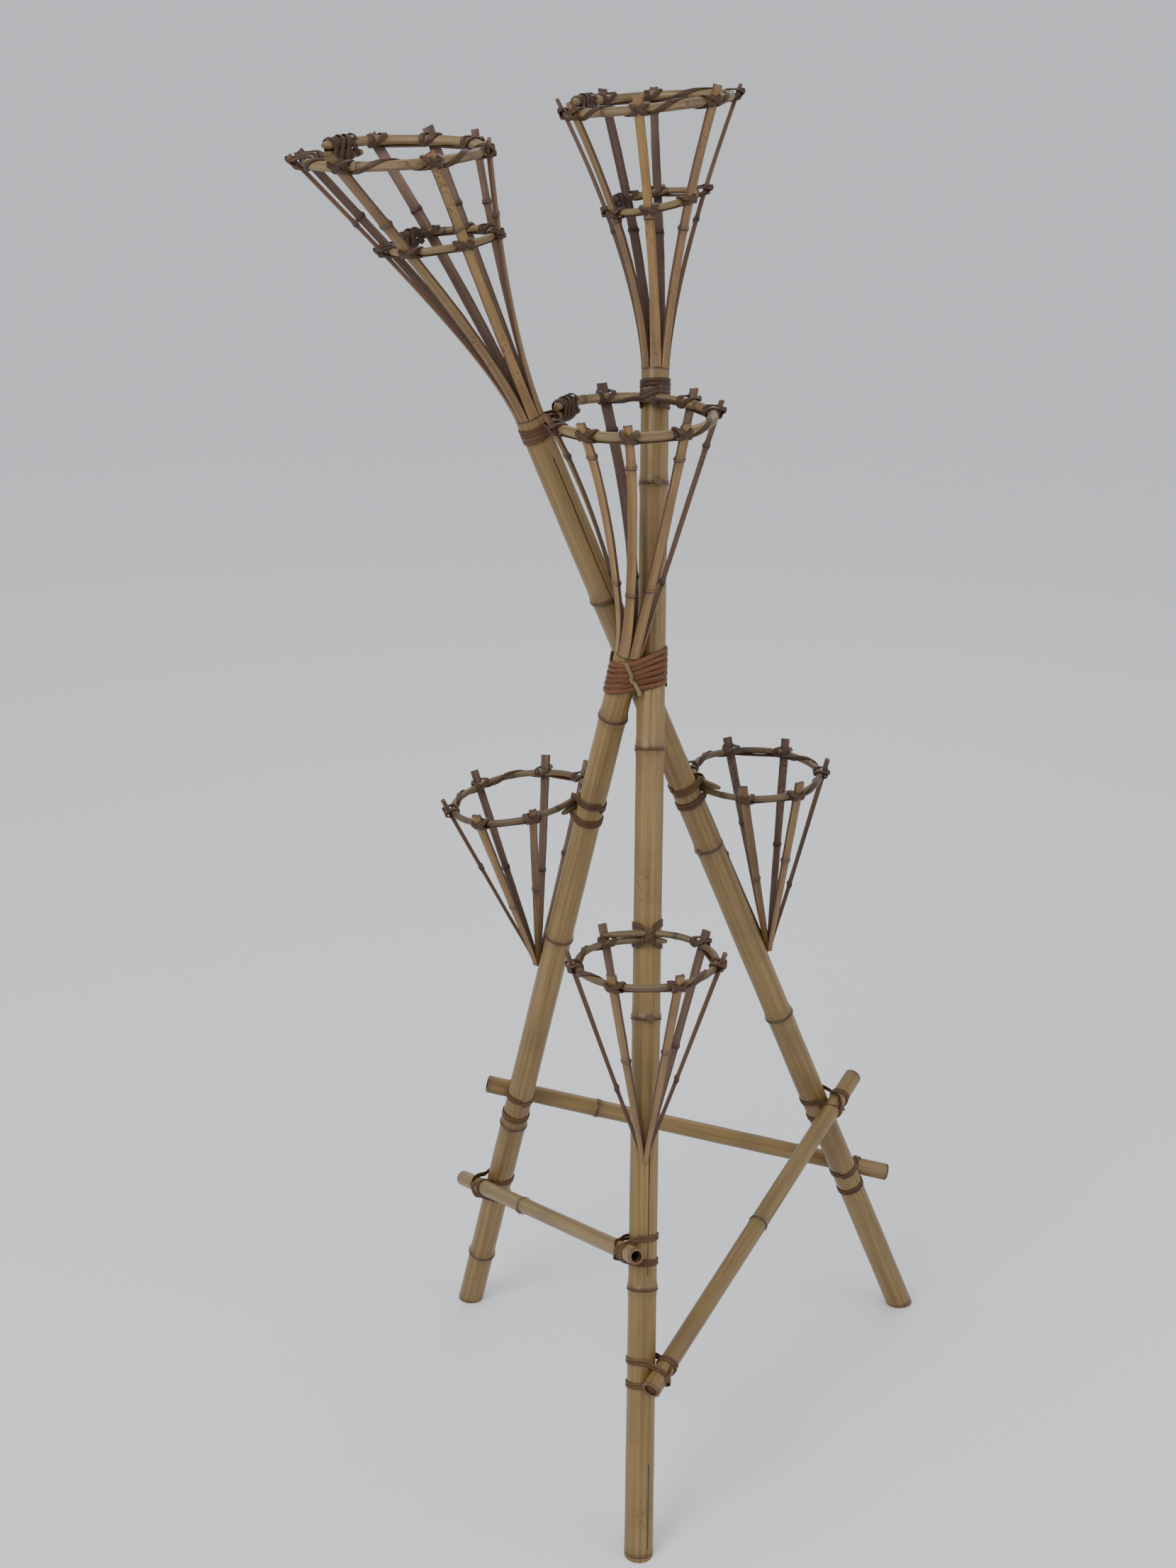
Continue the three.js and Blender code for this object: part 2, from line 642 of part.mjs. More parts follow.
// A basket: six slats from a socket in a leg up to a hoop that rests against the leg.
class Basket {
  constructor(leg, size) {
    this.leg = leg;
    this.size = size;
    this.out = azimuthVector(size.azimuth);
    this.axes = planeAxes(tiltedUp(...size.tilt));
    const touching = this.hoopAt(leg.at(size.height), []);
    const offset = clearingShift(touching.rods(size.azimuth + 180), leg, this.out);
    this.centre = plus(leg.at(size.height), this.out, offset);
    const skin = CULM_RADIUS / leg.direction.z;
    this.gather = plus(leg.at(size.socketHeight), this.out, skin + GATHER_OFFSET);
    this.axis = from(this.gather, this.centre).normalize();
    this.gatherAxes = planeAxes(this.axis);
    this.slats = size.azimuths.map((azimuth, i) => this.slatEnds(azimuth + size.azimuth, i));
    this.hoop = this.hoopAt(this.centre, this.slats);
  }

  hoopAt(centre, slats) {
    const lap = this.size.azimuth + 180;
    const { hoopRadius } = this.size;
    return new Hoop(centre, this.axes, hoopRadius, BASKET_TUBE, lap, BASKET_SLAT.topThickness, slats);
  }

  slatEnds(azimuth, index) {
    const out = radial(this.axes, azimuth);
    const tipOut = radial(this.gatherAxes, this.size.azimuth + (index - 2.5) * 60);
    const bend = plus(this.gather, tipOut, BUNDLE_RADIUS);
    const nominal = plus(this.centre, out, this.size.hoopRadius + BASKET_TUBE);
    const lean = from(bend, nominal);
    const slope = lean.dot(out) / lean.dot(this.axes.normal);
    const distance = this.hoopAt(this.centre, []).slatDistance(azimuth, slope);
    const rim = plus(this.centre, out, distance);
    return { azimuth, slope, distance, bend, rim, out, tipOut };
  }

  // A slat runs straight into the socket, bends where the six gather, and widens up to the hoop.
  slatGeometry({ bend, rim, out, tipOut }) {
    const { topWidth, topThickness, tipWidth, tipThickness } = BASKET_SLAT;
    const shares = [0, 0.3, 0.65, 1 + SLAT_STAND / from(bend, rim).length()];
    const spine = from(bend, rim);
    const points = [plus(bend, this.axis, -SOCKET_DEPTH), ...shares.map((share) => plus(bend, spine, share))];
    const outwards = [tipOut, ...shares.map((share) => between(tipOut, out, Math.min(share * 2, 1)))];
    const section = (i) => {
      const share = Math.min(Math.max(i - 1, 0) / (shares.length - 1), 1);
      const width = THREE.MathUtils.lerp(tipWidth, topWidth, share);
      return stripSection(width, THREE.MathUtils.lerp(tipThickness, topThickness, share));
    };
    return sweep(points, outwards, section);
  }

  socketSolid() {
    const length = SOCKET_DEPTH + CULM_RADIUS;
    const drill = new THREE.CylinderGeometry(SOCKET_RADIUS, SOCKET_RADIUS, length, 10);
    const middle = plus(this.gather, this.axis, (CULM_RADIUS - SOCKET_DEPTH) / 2);
    return toSolid(alongAxis(drill, middle, this.axis));
  }
}

const baskets = Object.fromEntries(Object.entries(BASKETS).map(([name, size]) => {
  return [name, new Basket(LEGS[name], size)];
}));

function addCulm(name) {
  const leg = LEGS[name];
  const crown = crowns[name];
  const lengthTo = (height) => (height - leg.foot.z) / leg.direction.z;
  const buried = -CULM_RADIUS;
  const tube = culmGeometry(
    buried,
    lengthTo(CROWNS[name].split),
    CULM_RADIUS,
    CULM_WALL,
    CULM_NODES[name].map(lengthTo),
    CULM_SEPTA[name].map(lengthTo),
    CULM_SIDES,
  );
  const ground = new THREE.BoxGeometry(8 * CULM_RADIUS, 8 * CULM_RADIUS, 4 * CULM_RADIUS);
  ground.translate(leg.foot.x, leg.foot.y, -2 * CULM_RADIUS);
  const slats = crown.size.azimuths.map((azimuth, i) => crown.slatSolid(i));
  const whole = joined([toSolid(alongAxis(tube, leg.foot, leg.direction)), ...slats]);
  const cut = whole.subtract(toSolid(ground)).subtract(baskets[name].socketSolid());
  addPiece('culm_' + name, toGeometry(cut), BAMBOO);
}

function addCrownHoops(name) {
  const crown = crowns[name];
  const rim = crown.rim();
  const bare = name === 'left' ? ['front', 'right'].map((other) => contactAzimuth(rim, LEGS[other])) : [];
  addPiece('crown_' + name + '_rim_hoop', rim.geometry(), HOOP_CANE);
  addPiece('crown_' + name + '_rim_binding', rim.bindingGeometry(bare), BINDING_CANE);
  if (!crown.size.waistHeight) return;
  const waist = crown.waist();
  addPiece('crown_' + name + '_waist_hoop', waist.geometry(), HOOP_CANE);
  addPiece('crown_' + name + '_waist_binding', waist.bindingGeometry(), BINDING_CANE);
}

// The azimuth, seen from a hoop's centre, at which a leg touches it.
function contactAzimuth(hoop, leg) {
  const offset = from(hoop.centre, leg.at(hoop.centre.z));
  return (THREE.MathUtils.radToDeg(Math.atan2(offset.y, offset.x)) + 360) % 360;
}

function addBasket(name) {
  const basket = baskets[name];
  addPiece('basket_' + name + '_hoop', basket.hoop.geometry(), HOOP_CANE);
  addPiece('basket_' + name + '_binding', basket.hoop.bindingGeometry(), BINDING_CANE);
  basket.slats.forEach((slat, i) => {
    addPiece('basket_' + name + '_slat_' + (i + 1), basket.slatGeometry(slat), SPLIT_BAMBOO);
  });
  const tie = hoopTie(basket.hoop, basket.leg, basket.size.azimuth + 180, HOOP_SLACK);
  addPiece('basket_' + name + '_tie', tie, LASHING_CANE);
}

// Ties a hoop to a leg at the azimuth where they touch.
function hoopTie(hoop, leg, azimuth, slack, collarOffset = null) {
  const hoopRods = hoop.rods(azimuth).map((rod) => ({ ...rod, radius: rod.radius + slack }));
  const rods = [leg.rod(), ...hoopRods];
  const middle = hoopRods.map((rod) => rod.point);
  const touch = between(middle[0], middle[middle.length - 1], 0.5);
  const centre = plus(touch, radial(hoop.axes, azimuth), hoop.tube);
  const along = radial(hoop.axes, azimuth + 90);
  const bands = crossTie(rods, centre, along, leg.direction, TIE_WIDTH, LASHING_THICKNESS);
  if (collarOffset !== null) {
    const collarCentre = leg.at(hoop.centre.z + collarOffset);
    const collar = [leg.rod()];
    bands.push(toSolid(bandGeometry(collar, collarCentre, leg.direction, COLLAR_WIDTH, LASHING_THICKNESS)));
  }
  return toGeometry(joined(bands));
}

// A brace that rests on the outer side of two legs, square to both where it crosses them.
function braceLine({ legs, heights, radius }) {
  const ends = legs.map((name, i) => ({ leg: LEGS[name], point: LEGS[name].at(heights[i]) }));
  const offset = CULM_RADIUS + radius + CLEARANCE;
  const away = between(ends[0].point, ends[1].point, 0.5).setZ(0);
  let contacts = ends.map((end) => end.point);
  for (let i = 0; i < 8; i++) {
    const direction = from(contacts[0], contacts[1]).normalize();
    contacts = ends.map(({ leg, point }) => {
      const normal = cross(leg.direction, direction).normalize();
      return plus(point, normal, offset * Math.sign(normal.dot(away)));
    });
  }
  return { contacts, direction: from(contacts[0], contacts[1]).normalize() };
}

function addBrace(name) {
  const size = BRACES[name];
  const { contacts, direction } = braceLine(size);
  const [before, after] = size.overhang;
  const length = contacts[0].distanceTo(contacts[1]) + before + after;
  const nodes = size.nodes.map((share) => share * length);
  const tube = culmGeometry(0, length, size.radius, BRACE_WALL, nodes, nodes, BRACE_SIDES);
  addPiece('brace_' + name, alongAxis(tube, plus(contacts[0], direction, -before), direction), BAMBOO);
  size.legs.forEach((legName, i) => {
    const leg = LEGS[legName];
    const brace = { point: contacts[i], direction, radius: size.radius };
    const centre = between(leg.at(size.heights[i]), contacts[i], 0.5);
    const rods = [{ ...leg.rod(), radius: CULM_RADIUS + NODE_RISE }, brace];
    const bands = crossTie(rods, centre, leg.direction, direction, BRACE_LASHING_WIDTH, LASHING_THICKNESS);
    addPiece('brace_' + name + '_lashing_' + legName, toGeometry(joined(bands)), LASHING_CANE);
  });
}

// The main lashing round all three culms, and the strap that draws its turns together.
function addMainLashing() {
  const rods = Object.values(LEGS).map((leg) => leg.rod());
  const normal = tiltedUp(MAIN_LASHING_TILT);
  const centre = between(LEGS.front.at(CROSSING.z), LEGS.left.at(CROSSING.z), 0.5);
  const band = bandGeometry(
    rods,
    centre,
    normal,
    MAIN_LASHING_HEIGHT,
    MAIN_LASHING_THICKNESS,
    3,
    MAIN_LASHING_STEPS,
  );
  addPiece('main_lashing', band, LASHING_CANE);
  const axes = planeAxes(normal);
  const sideways = from(LEGS.left.at(CROSSING.z), LEGS.front.at(CROSSING.z));
  sideways.addScaledVector(normal, -sideways.dot(normal)).normalize();
  const out = cross(sideways, normal);
  const half = MAIN_LASHING_HEIGHT / 2;
  const beyond = half + CLEARANCE + STRAP_THICKNESS;
  const onBand = (offset, lift, side = 0) => {
    const level = plus(plus(centre, normal, offset), sideways, -STRAP_SHIFT);
    const distance = reachOf(rods, level, axes, out)(CANE_SLACK + MAIN_LASHING_THICKNESS * side) + lift;
    return plus(level, out, distance);
  };
  const lift = CLEARANCE + STRAP_SLACK + STRAP_THICKNESS;
  const points = [onBand(-beyond, 0), onBand(-beyond, lift, 1), onBand(0, lift, 1), onBand(beyond, lift, 1)];
  points.push(onBand(beyond, 0));
  const outwards = [from(normal, out), out, out, out, plus(out, normal, 1)];
  outwards[0] = plus(out, normal, -1);
  const strap = sweep(points, outwards, () => stripSection(STRAP_WIDTH, STRAP_THICKNESS));
  addPiece('main_lashing_strap', strap, LASHING_CANE);
}

// The left crown's rim is tied to the front and the right culm, each with a collar near the split. The
// ties go over the rim's own binding.
function addRimTies() {
  const rim = crowns.left.rim();
  const slack = HOOP_SLACK + BINDING_SLACK + CANE_THICKNESS + CANE_SLACK;
  for (const [name, offset] of Object.entries(COLLAR_OFFSETS)) {
    const tie = hoopTie(rim, LEGS[name], contactAzimuth(rim, LEGS[name]), slack, offset);
    addPiece('crown_' + name + '_collar', tie, LASHING_CANE);
  }
}

for (const name of Object.keys(LEGS)) {
  addCulm(name);
  addCrownHoops(name);
  addBasket(name);
}
Object.keys(BRACES).forEach(addBrace);
addMainLashing();
addRimTies();

// The part's origin is the middle of the ground under its box.
const box = new THREE.Box3().setFromObject(stand);
const middle = box.getCenter(new THREE.Vector3());
stand.position.set(-middle.x, -middle.y, -box.min.z);

const part = new THREE.Group();
part.add(stand);
export default part;
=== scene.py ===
"""Bamboo tripod plant stand: crossed culms with split tops, cone baskets, braces and cane lashings.

Metres, +Z up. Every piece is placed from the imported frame: the poles, hoops, slats and braces are measured
on its nodes, and the canes are wound round them.
"""

import logging
import math
import zlib
from dataclasses import dataclass, field
from enum import Enum
from typing import Iterable, Sequence

import bpy
import numpy as np
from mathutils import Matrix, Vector

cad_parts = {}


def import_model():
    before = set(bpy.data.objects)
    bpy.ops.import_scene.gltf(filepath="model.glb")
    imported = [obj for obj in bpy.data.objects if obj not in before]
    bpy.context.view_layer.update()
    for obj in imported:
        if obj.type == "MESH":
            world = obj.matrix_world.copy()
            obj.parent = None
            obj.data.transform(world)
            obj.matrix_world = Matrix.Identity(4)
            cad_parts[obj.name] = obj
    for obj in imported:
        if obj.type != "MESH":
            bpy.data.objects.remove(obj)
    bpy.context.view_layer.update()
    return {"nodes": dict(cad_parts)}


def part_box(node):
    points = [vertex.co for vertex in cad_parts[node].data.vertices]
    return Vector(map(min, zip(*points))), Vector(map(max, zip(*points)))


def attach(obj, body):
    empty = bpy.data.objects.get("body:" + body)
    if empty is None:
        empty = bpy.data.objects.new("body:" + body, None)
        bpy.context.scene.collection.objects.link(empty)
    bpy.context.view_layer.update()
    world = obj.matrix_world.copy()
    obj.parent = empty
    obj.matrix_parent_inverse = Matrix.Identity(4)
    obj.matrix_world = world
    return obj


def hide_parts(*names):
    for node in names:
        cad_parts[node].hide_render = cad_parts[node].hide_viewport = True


LOG = logging.getLogger("plant_stand")
MM = 0.001
RIGHT = np.array([1.0, 0.0, 0.0])
SMOOTH_ANGLE = math.radians(38)

# What the materials read from the meshes
GRAIN_MAP = "grain"
JOINT_MARK = "joint"
NEAR_MARK = "near"
CRACK_MARK = "crack"
TONE_MARK = "tone"

# Poles and their joints: a culm's taper ends at TAPER_HEIGHT, and a joint browns the skin beside it
TAPER_HEIGHT = 0.95
FOOT_SLICE = 0.2 * MM
RING_SLICE = 14 * MM
JOINT_BAND = 15 * MM
JOINT_FADE = 5 * MM
NO_JOINT = 1.0

# Flat cane on a hoop: how far it stands off the skin, and its cross over a slat
CANE_LIFT = 0.8 * MM
CROSS_REACH = 7.8 * MM
CROSS_EDGE = 5.6 * MM
BINDING_THICKNESS = 1.9 * MM
SKIN_GAP = 1.0 * MM

# Points along a slat near a joint
SLAT_STEP = 4 * MM

Array = np.ndarray


# Vectors

def unit(v: Array) -> Array:
    """Returns v, or each row of v, at length one."""
    return v / np.linalg.norm(v, axis=-1, keepdims=True)


def seeded(name: str) -> np.random.Generator:
    """Returns a random generator that gives a named piece the same numbers every time."""
    return np.random.default_rng(zlib.crc32(name.encode()))


def tilted_up(towards_right: float, towards_front: float = 0.0) -> Array:
    """Returns the upright of a ring tilted up towards +X and towards -Y by two angles in degrees."""
    right, front = math.radians(towards_right), math.radians(towards_front)
    return unit(np.array([-math.sin(right), math.sin(front), 1.0]))


@dataclass
class Plane:
    """A plane's own axes: first runs to +X as nearly as the plane lets it."""

    normal: Array

    def __post_init__(self) -> None:
        """Works out the two axes that lie in the plane."""
        self.normal = unit(self.normal)
        self.first = unit(RIGHT - self.normal * RIGHT.dot(self.normal))
        self.second = np.cross(self.normal, self.first)

    def radial(self, degrees: Array | float) -> Array:
        """Returns the direction, or one row for each direction, at an angle from the first axis."""
        angle = np.radians(np.asarray(degrees, float))[..., None]
        return np.cos(angle) * self.first + np.sin(angle) * self.second


def smooth_path(keys: Array, steps: int, closed: bool = False) -> Array:
    """Returns a smooth curve through rows of numbers.

    Args:
        keys: One row per point the curve passes.
        steps: Points made for each stretch between two keys.
        closed: Whether the curve runs back to its start.
    Returns:
        The curve's rows, with the last key at the end of an open curve.
    """
    n = len(keys)
    if closed:
        p = np.vstack([keys[-1:], keys, keys[:2]])
        spans = n
    else:
        p = np.vstack([2 * keys[0] - keys[1], keys, 2 * keys[-1] - keys[-2]])
        spans = n - 1
    t = np.linspace(0, 1, steps, endpoint=False)[:, None]
    rows = []
    for i in range(spans):
        a, b, c, d = p[i], p[i + 1], p[i + 2], p[i + 3]
        square = (2 * a - 5 * b + 4 * c - d) * t**2
        cube = (3 * b - a - 3 * c + d) * t**3
        rows.append(0.5 * (2 * b + (c - a) * t + square + cube))
    if not closed:
        rows.append(keys[-1:])
    return np.vstack(rows)


def travelled(points: Array) -> Array:
    """Returns how far each point lies along a path."""
    return np.concatenate([[0.0], np.cumsum(np.linalg.norm(np.diff(points, axis=0), axis=1))])


# Sections, as anticlockwise rows of (across, out)

def round_section(radius: float, sides: int) -> Array:
    """Returns a round cane's section."""
    angle = np.linspace(0, 2 * math.pi, sides, endpoint=False)
    return radius * np.column_stack([np.cos(angle), np.sin(angle)])


def strip_section(width: float, thickness: float) -> Array:
    """Returns a flat cane's section: flat inside, a little domed outside, with rounded edges."""
    w, t = width / 2, thickness / 2
    return np.array([
        [w, -t * 0.3], [w, t * 0.35], [w * 0.8, t * 0.85], [w * 0.3, t * 1.15], [-w * 0.3, t * 1.15],
        [-w * 0.8, t * 0.85], [-w, t * 0.35], [-w, -t * 0.3], [-w * 0.8, -t], [w * 0.8, -t],
    ])


SLAT_COLUMNS = 6


def slat_section(width: float, thickness: float, culm_radius: float, inset: float = 0.97) -> Array:
    """Returns a slat's section, split from a round culm: both faces keep the culm's curve."""
    x = np.linspace(width / 2, -width / 2, SLAT_COLUMNS)
    bow = culm_radius - np.sqrt(np.maximum(culm_radius**2 - x**2, 0))
    outer = np.column_stack([x, thickness / 2 - bow])
    inner = np.column_stack([x[::-1] * inset, -thickness / 2 - bow[::-1]])
    return np.vstack([outer, inner])


class Face(Enum):
    """The faces of split bamboo, each with its own finish."""

    SKIN = 0
    EDGE = 1
    PITH = 2


def slat_faces() -> list[int]:
    """Returns the finish of each side of a slat's section."""
    outer = [Face.SKIN.value] * (SLAT_COLUMNS - 1)
    inner = [Face.PITH.value] * (SLAT_COLUMNS - 1)
    return outer + [Face.EDGE.value] + inner + [Face.EDGE.value]


class Weave:
    """A mesh put together from swept lengths of cane, with a map that follows the grain."""

    def __init__(self) -> None:
        """Starts with nothing in it."""
        self.points: list[Array] = []
        self.faces: list[tuple[int, ...]] = []
        self.maps: list[tuple[float, float]] = []
        self.slots: list[int] = []
        self.joints: list[Array] = []
        self.tones: list[Array] = []
        self.count = 0

    def sweep(
        self,
        centres: Array,
        outwards: Array,
        sections: Array,
        slots: Sequence[int] | int = 0,
        joints: Sequence[float] = (),
        tone: float = 0.5,
        start: float = 0.0,
        cap_slot: int | None = None,
    ) -> None:
        """Sweeps a section along a path.

        Args:
            centres: The path, one row per ring.
            outwards: Where each section's second axis points.
            sections: One section for all rings, or one per ring.
            slots: The finish of each side of the section.
            joints: How far along the path the cane has its joints.
            tone: The cane's own shade, from 0 to 1.
            start: The grain map's length at the path's start.
            cap_slot: The finish of the cut ends, or the first side's.
        """
        n = len(centres)
        travel = unit(np.gradient(centres, axis=0))
        out = unit(outwards - travel * np.sum(outwards * travel, axis=1, keepdims=True))
        across = np.cross(out, travel)
        if sections.ndim == 2:
            sections = np.repeat(sections[None], n, axis=0)
        m = sections.shape[1]
        rings = centres[:, None] + sections[..., :1] * across[:, None] + sections[..., 1:] * out[:, None]
        closed = np.concatenate([sections, sections[:, :1]], axis=1)
        edges = np.linalg.norm(np.diff(closed, axis=1), axis=2)
        around = np.concatenate([np.zeros((n, 1)), np.cumsum(edges, axis=1)], axis=1)
        along = start + travelled(centres)
        sides = [slots] * m if isinstance(slots, int) else list(slots)
        for i in range(n - 1):
            a, b = self.count + i * m, self.count + (i + 1) * m
            for j in range(m):
                k = (j + 1) % m
                self.faces.append((a + j, a + k, b + k, b + j))
                self.maps += [
                    (around[i, j], along[i]), (around[i, j + 1], along[i]),
                    (around[i + 1, j + 1], along[i + 1]), (around[i + 1, j], along[i + 1]),
                ]
                self.slots.append(sides[j])
        end_slot = sides[0] if cap_slot is None else cap_slot
        for ring, order in ((0, range(m - 1, -1, -1)), (n - 1, range(m))):
            self.faces.append(tuple(self.count + ring * m + j for j in order))
            self.maps += [tuple(sections[ring, j]) for j in order]
            self.slots.append(end_slot)
        self.points.append(rings.reshape(-1, 3))
        self.joints.append(np.repeat(nearest_joint(along - start, joints), m))
        self.tones.append(np.full(n * m, tone))
        self.count += n * m

    def to_object(self, name: str, finishes: Sequence[bpy.types.Material]) -> bpy.types.Object:
        """Makes the mesh object.

        Args:
            name: The piece's name.
            finishes: The material for each slot number.
        Returns:
            The object, in the scene and smooth.
        """
        mesh = bpy.data.meshes.new(name)
        mesh.from_pydata(np.vstack(self.points).tolist(), [], self.faces)
        grain = mesh.uv_layers.new(name=GRAIN_MAP)
        grain.data.foreach_set("uv", np.array(self.maps, np.float32).ravel())
        mesh.polygons.foreach_set("material_index", self.slots)
        away = np.concatenate(self.joints)
        write_marks(mesh, away, np.concatenate(self.tones), np.ones(len(away)))
        for finish in finishes:
            mesh.materials.append(finish)
        piece = bpy.data.objects.new(name, mesh)
        bpy.context.scene.collection.objects.link(piece)
        smooth(piece)
        return piece


def write_marks(mesh: bpy.types.Mesh, away: Array, tones: Array, cracks: Array) -> None:
    """Writes what the materials read at each vertex.

    Args:
        mesh: The mesh to write to.
        away: Signed distance along the grain to the nearest joint.
        tones: How light the piece of cane is, 0 to 1.
        cracks: Distance across the grain to the nearest crack.
    """
    near = np.clip((JOINT_BAND - np.abs(away)) / JOINT_FADE, 0, 1)
    for mark, values in ((JOINT_MARK, away), (NEAR_MARK, near), (TONE_MARK, tones), (CRACK_MARK, cracks)):
        layer = mesh.attributes.new(mark, "FLOAT", "POINT")
        layer.data.foreach_set("value", values.astype(np.float32))


def nearest_joint(along: Array, joints: Sequence[float]) -> Array:
    """Returns the signed distance from each place to the nearest joint, or far away where there is none."""
    if not len(joints):
        return np.full(len(along), NO_JOINT)
    offsets = np.asarray(along)[:, None] - np.asarray(joints)[None]
    return offsets[np.arange(len(along)), np.abs(offsets).argmin(axis=1)]


def only(piece: bpy.types.Object) -> None:
    """Selects one object and nothing else."""
    bpy.ops.object.select_all(action="DESELECT")
    piece.select_set(True)
    bpy.context.view_layer.objects.active = piece


def smooth(piece: bpy.types.Object) -> None:
    """Shades a piece smooth, except at its corners."""
    only(piece)
    bpy.ops.object.shade_smooth_by_angle(angle=SMOOTH_ANGLE)


# What the frame says

def node_points(name: str, nodes: dict[str, bpy.types.Object]) -> Array:
    """Returns a node's points, each once."""
    points = np.array([v.co for v in nodes[name].data.vertices], float)
    return np.unique(points.round(6), axis=0)


@dataclass
class Rod:
    """A straight round rod that canes are wound round."""

    point: Array
    direction: Array
    radius: float


def thickening(height: Array | float) -> Array | float:
    """Returns how much of its taper a culm has at a height: all at the ground, none at the main lashing."""
    return np.clip(1 - height / TAPER_HEIGHT, 0, 1)


@dataclass
class Pole(Rod):
    """A leg's middle line, from the middle of its foot. Its culm thickens towards the ground."""

    taper: float = 0.0

    def local(self, height: float) -> Rod:
        """Returns the pole as thick as it is at a height."""
        return Rod(self.point, self.direction, self.radius * (1 + self.taper * thickening(height)))

    def at(self, height: float) -> Array:
        """Returns the point of the middle line at a height above the ground."""
        return self.point + self.direction * (height - self.point[2]) / self.direction[2]

    def length_to(self, height: float) -> float:
        """Returns the length along the pole from the ground to a height."""
        return (height - self.point[2]) / self.direction[2]

    @classmethod
    def measured(cls, points: Array, joint_height: float, radius: float) -> "Pole":
        """Finds a pole from its foot's outline and one joint's ring."""
        foot = points[points[:, 2] < FOOT_SLICE].mean(axis=0)
        ring = points[np.abs(points[:, 2] - joint_height) < RING_SLICE].mean(axis=0)
        return cls(foot, unit(ring - foot), radius)


@dataclass
class HoopLine:
    """A hoop's middle line: one turn and a lap, as a flat helix."""

    centre: Array
    plane: Plane
    radius: float
    tube: float
    lap: float
    pitch: float

    def on_helix(self, degrees: float) -> float:
        """Returns an azimuth counted on from the middle of the lap."""
        return (degrees - self.lap + 720) % 360 + self.lap

    def rise(self, degrees: Array | float) -> Array | float:
        """Returns how far the middle line stands above the hoop's plane."""
        return self.pitch * ((degrees - self.lap) / 360 - 0.5)

    def at(self, degrees: Array | float, out: Array | float = 0.0, up: Array | float = 0.0) -> Array:
        """Returns points near the hoop: out from its middle line and up from it."""
        d = np.asarray(degrees, float)
        ring = (self.radius + np.asarray(out))[..., None] * self.plane.radial(d)
        return self.centre + ring + (self.rise(d) + np.asarray(up))[..., None] * self.plane.normal

    def degrees(self, length: float) -> float:
        """Returns the angle of a length along the hoop."""
        return math.degrees(length / self.radius)

    def crossing(self, offset: Array, travel: Array, slat_thickness: float) -> "SlatCrossing":
        """Returns how a slat stands against the hoop.

        Args:
            offset: From the hoop's centre to where the slat passes its plane.
            travel: The slat's way there.
            slat_thickness: How thick the slat is.
        """
        plane = self.plane
        distance = float(np.linalg.norm(offset))
        slope = travel.dot(offset) / distance / travel.dot(plane.normal)
        azimuth = math.degrees(math.atan2(offset.dot(plane.second), offset.dot(plane.first))) % 360
        skin = distance - self.radius + (slat_thickness / 2 + SKIN_GAP) * math.hypot(1, slope)
        return SlatCrossing(azimuth, skin, slope)

    def rods(self, degrees: float, lap_half: float) -> list[Rod]:
        """Returns the hoop near an azimuth as straight rods: two where its ends lap."""
        tangent = self.plane.radial(degrees + 90)
        lapped = abs((degrees - self.lap + 540) % 360 - 180) < lap_half
        turns = (self.lap, self.lap + 360) if lapped else (self.on_helix(degrees),)
        return [Rod(self.at(turn), tangent, self.tube) for turn in turns]

    @classmethod
    def measured(cls, points: Array, normal: Array, tube: float, lap: float, gap: float) -> "HoopLine":
        """Finds a hoop's centre and radius from its points, when its tilt and its lap are known."""
        plane = Plane(normal)
        x, y, z = points @ plane.first, points @ plane.second, points @ plane.normal
        rows = np.column_stack([x, y, np.ones(len(x))])
        a, b, c = np.linalg.lstsq(rows, x**2 + y**2, rcond=None)[0]
        radius = math.sqrt(c + a * a / 4 + b * b / 4)
        azimuth = np.degrees(np.arctan2(y - b / 2, x - a / 2))
        far = (azimuth - lap + 720) % 360
        clear = (far > 40) & (far < 320)
        pitch = 2 * tube + gap
        height = np.mean(z[clear] - pitch * (far[clear] / 360 - 0.5))
        centre = plane.first * a / 2 + plane.second * b / 2 + plane.normal * height
        return cls(centre, plane, radius, tube, lap, pitch)


# Canes wound round rods

def boundary(rods: Sequence[Rod], origin: Array, plane: Plane, extra: float, steps: int = 120) -> Array:
    """Returns the tight outline round rods in a plane, as evenly spaced points.

    Args:
        rods: What is tied together.
        origin: A point of the plane.
        plane: The plane's axes.
        extra: How far the outline stays off the rods.
        steps: Points in the outline.
    """
    angle = np.linspace(0, 2 * math.pi, 180, endpoint=False)
    directions = np.column_stack([np.cos(angle), np.sin(angle)])
    supports, points = [], []
    for rod in rods:
        d = rod.direction
        tilt = d.dot(plane.normal)
        centre = rod.point + d * (origin - rod.point).dot(plane.normal) / tilt - origin
        middle = np.array([centre.dot(plane.first), centre.dot(plane.second)])
        dx, dy = d.dot(plane.first), d.dot(plane.second)
        shape = np.array([[1 - dy * dy, dx * dy], [dx * dy, 1 - dx * dx]])
        shape = shape * ((rod.radius + extra) / tilt) ** 2
        pushed = directions @ shape
        half = np.sqrt(np.sum(pushed * directions, axis=1))
        supports.append(directions @ middle + half)
        points.append(middle + pushed / half[:, None])
    furthest = np.argmax(np.array(supports), axis=0)
    outline = np.array(points)[furthest, np.arange(len(angle))]
    loop = np.vstack([outline, outline[:1]])
    length = travelled(loop)
    places = np.linspace(0, length[-1], steps, endpoint=False)
    x, y = (np.interp(places, length, loop[:, k]) for k in (0, 1))
    return origin + x[:, None] * plane.first + y[:, None] * plane.second


